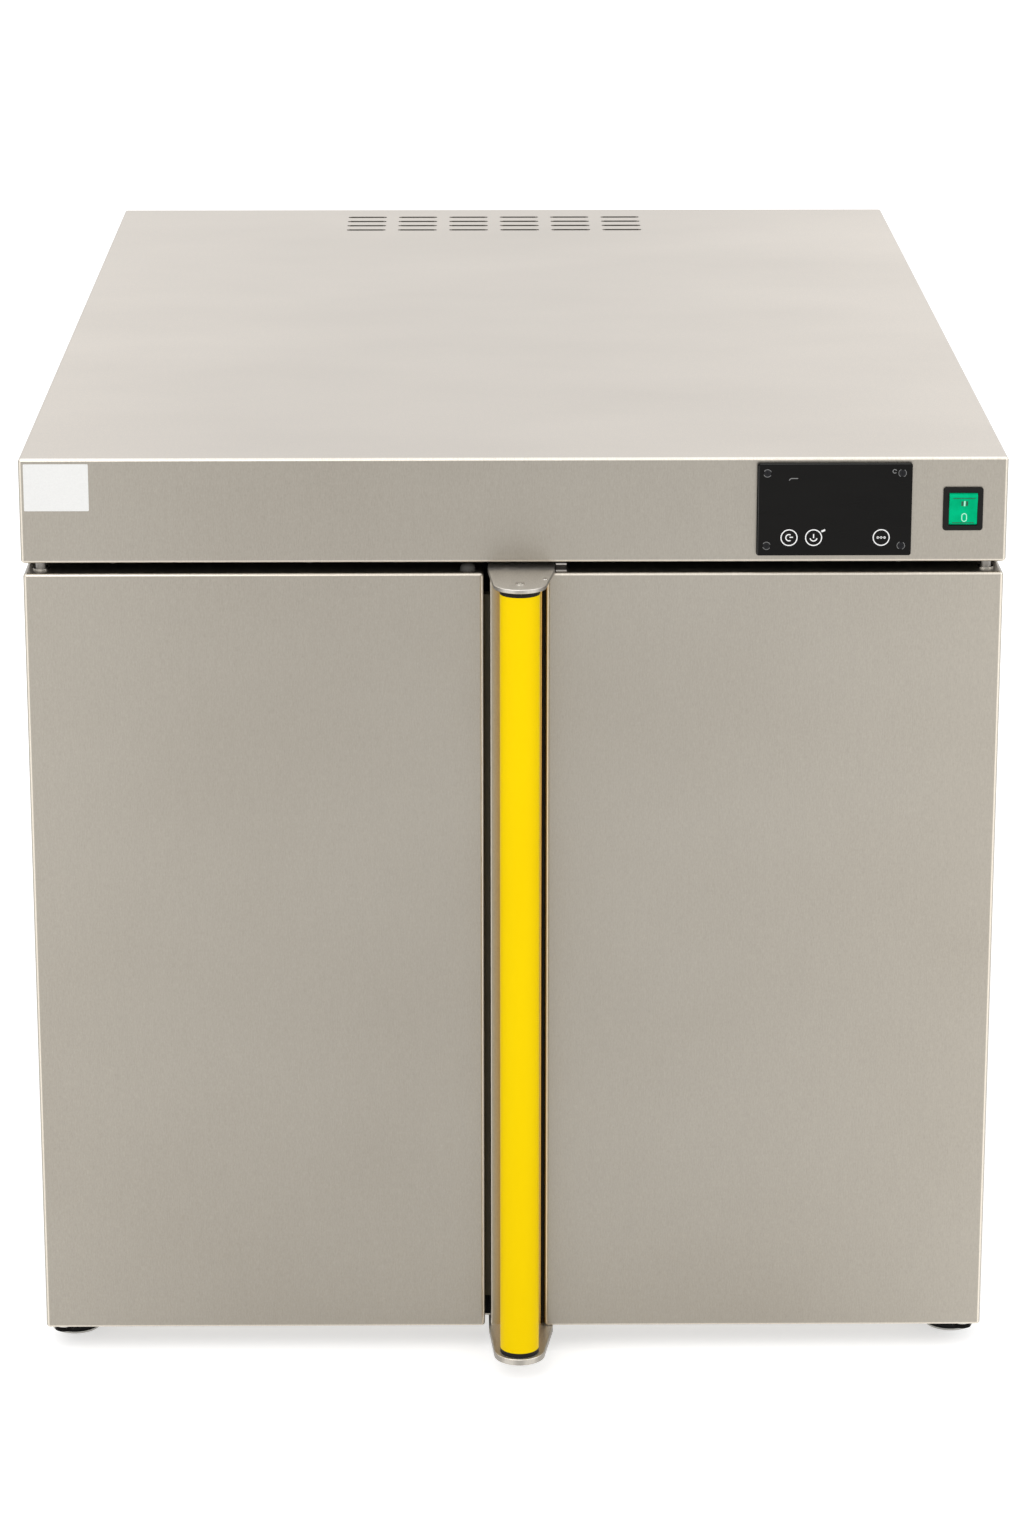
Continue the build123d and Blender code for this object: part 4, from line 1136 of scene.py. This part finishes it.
@dataclass
class DoorTrim:
    """Buffer, catch and centre strip."""

    def build(self) -> None:
        """Coats the trim."""
        BUFFER_RUBBER.coat("left_door_buffer")
        CATCH_STEEL.coat("right_door_catch")
        STRIP_SHEET.coat("centre_strip")
        SEAL_RUBBER.coat("strip_seals")


@dataclass
class Handle:
    """Grip tube between two plates."""

    def build(self) -> None:
        """Coats the handle's pieces."""
        PLATE_SHEET.coat("handle_top_plate", "handle_bottom_plate")
        YELLOW.coat("handle_tube")
        BLACK_PLASTIC.coat("handle_end_plugs")
        BRIGHT.coat("handle_screws")


@dataclass(frozen=True)
class Lamp:
    """One soft area lamp."""

    name: str
    place: tuple[float, float, float]
    target: tuple[float, float, float]
    size: float
    power: float

    def build(self) -> None:
        """Adds the lamp."""
        data = bpy.data.lights.new(self.name, "AREA")
        data.shape = "SQUARE"
        data.size = self.size
        data.energy = self.power
        lamp = bpy.data.objects.new(self.name, data)
        lamp.location = self.place
        aim = Vector(self.target) - Vector(self.place)
        lamp.rotation_euler = aim.to_track_quat("-Z", "Y").to_euler()
        lamp.visible_camera = False
        bpy.context.scene.collection.objects.link(lamp)


@dataclass
class Studio:
    """Camera, lamps, floor and surroundings."""

    eye: tuple[float, float, float] = (-0.03324, -4.13836, 1.58799)
    pitch: float = 16.6045
    yaw: float = 0.51
    roll: float = 0.0
    lens: float = 106.28
    sensor: float = 36.0
    floor_size: float = 60.0
    floor_colour: Colour = (0.80, 0.80, 0.80)
    floor_glow: float = 0.55
    sky: float = 0.85
    sky_colour: Colour = (1.0, 0.995, 0.985)
    lamps: tuple[Lamp, ...] = (
        Lamp("front_softbox", (-1.3, -3.2, 2.9), (0.0, 0.0, 0.4), 2.4, 38.0),
        Lamp("side_softbox", (3.0, -1.6, 2.2), (0.0, 0.0, 0.4), 2.0, 16.0),
        Lamp("back_softbox", (0.3, 4.2, 2.0), (0.0, 0.0, 0.7), 3.0, 3.0),
    )

    def build_camera(self) -> None:
        """Adds the camera at the photograph's viewpoint."""
        pitch, yaw, roll = (math.radians(a) for a in (self.pitch, self.yaw, self.roll))
        ahead = Vector((math.sin(yaw) * math.cos(pitch), math.cos(yaw) * math.cos(pitch), -math.sin(pitch)))
        level = Vector((math.cos(yaw), -math.sin(yaw), 0.0))
        upright = level.cross(ahead)
        right = math.cos(roll) * level + math.sin(roll) * upright
        up = math.cos(roll) * upright - math.sin(roll) * level
        turn = Matrix((right, up, -ahead)).transposed().to_4x4()
        data = bpy.data.cameras.new("photo_camera")
        data.lens = self.lens
        data.sensor_width = self.sensor
        camera = bpy.data.objects.new("photo_camera", data)
        camera.matrix_world = Matrix.Translation(self.eye) @ turn
        bpy.context.scene.collection.objects.link(camera)
        bpy.context.scene.camera = camera

    def build_sky(self) -> None:
        """White surroundings that light the object softly."""
        world = bpy.data.worlds.new("studio_white")
        bpy.context.scene.world = world
        bench = Bench(world, "ShaderNodeOutputWorld")
        plain = bench.node("ShaderNodeBackground", {}, {"Color": self.sky_colour, "Strength": self.sky})
        shown = bench.node("ShaderNodeBackground", {}, {"Color": (1.0, 1.0, 1.0), "Strength": 1.0})
        bench.close(bench.node("ShaderNodeMixShader", {}, {0: bench.seen(), 1: plain, 2: shown}))

    def build_floor(self) -> None:
        """Pale floor that goes white and keeps the object's shadow."""
        half = self.floor_size / 2
        mesh = bmesh.new()
        corners = ((-half, -half), (half, -half), (half, half), (-half, half))
        mesh.faces.new([mesh.verts.new((x, y, 0.0)) for x, y in corners])
        data = bpy.data.meshes.new("studio_floor")
        mesh.to_mesh(data)
        mesh.free()
        floor = bpy.data.objects.new("studio_floor", data)
        bpy.context.scene.collection.objects.link(floor)
        bench = Bench(bpy.data.materials.new("studio_floor"))
        diffuse = bench.node("ShaderNodeBsdfDiffuse", {}, {"Color": self.floor_colour})
        glow = bench.node("ShaderNodeEmission", {}, {"Strength": bench.seen() * self.floor_glow})
        bench.close(bench.node("ShaderNodeAddShader", {}, {0: diffuse, 1: glow}))
        data.materials.append(bench.owner)

    def build(self) -> None:
        """Sets the stage."""
        self.build_camera()
        self.build_sky()
        self.build_floor()
        for lamp in self.lamps:
            lamp.build()
        bpy.context.scene.view_settings.view_transform = "Standard"


def main() -> None:
    """Builds the cabinet's looks in order."""
    logging.basicConfig(level=logging.INFO, format="%(message)s")
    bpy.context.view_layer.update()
    assemblies = (
        Hood(), ControlPanel(), PowerSwitch(), Casing(), Chamber(), HeatingUnit(), Electrics(),
        Door("left", DOOR_SHEET), Door("right", RIGHT_DOOR_SHEET), DoorTrim(), Handle(), Studio(),
    )
    for assembly in assemblies:
        assembly.build()
        log.info("built %s", type(assembly).__name__)


if __name__ == "__main__":
    main()
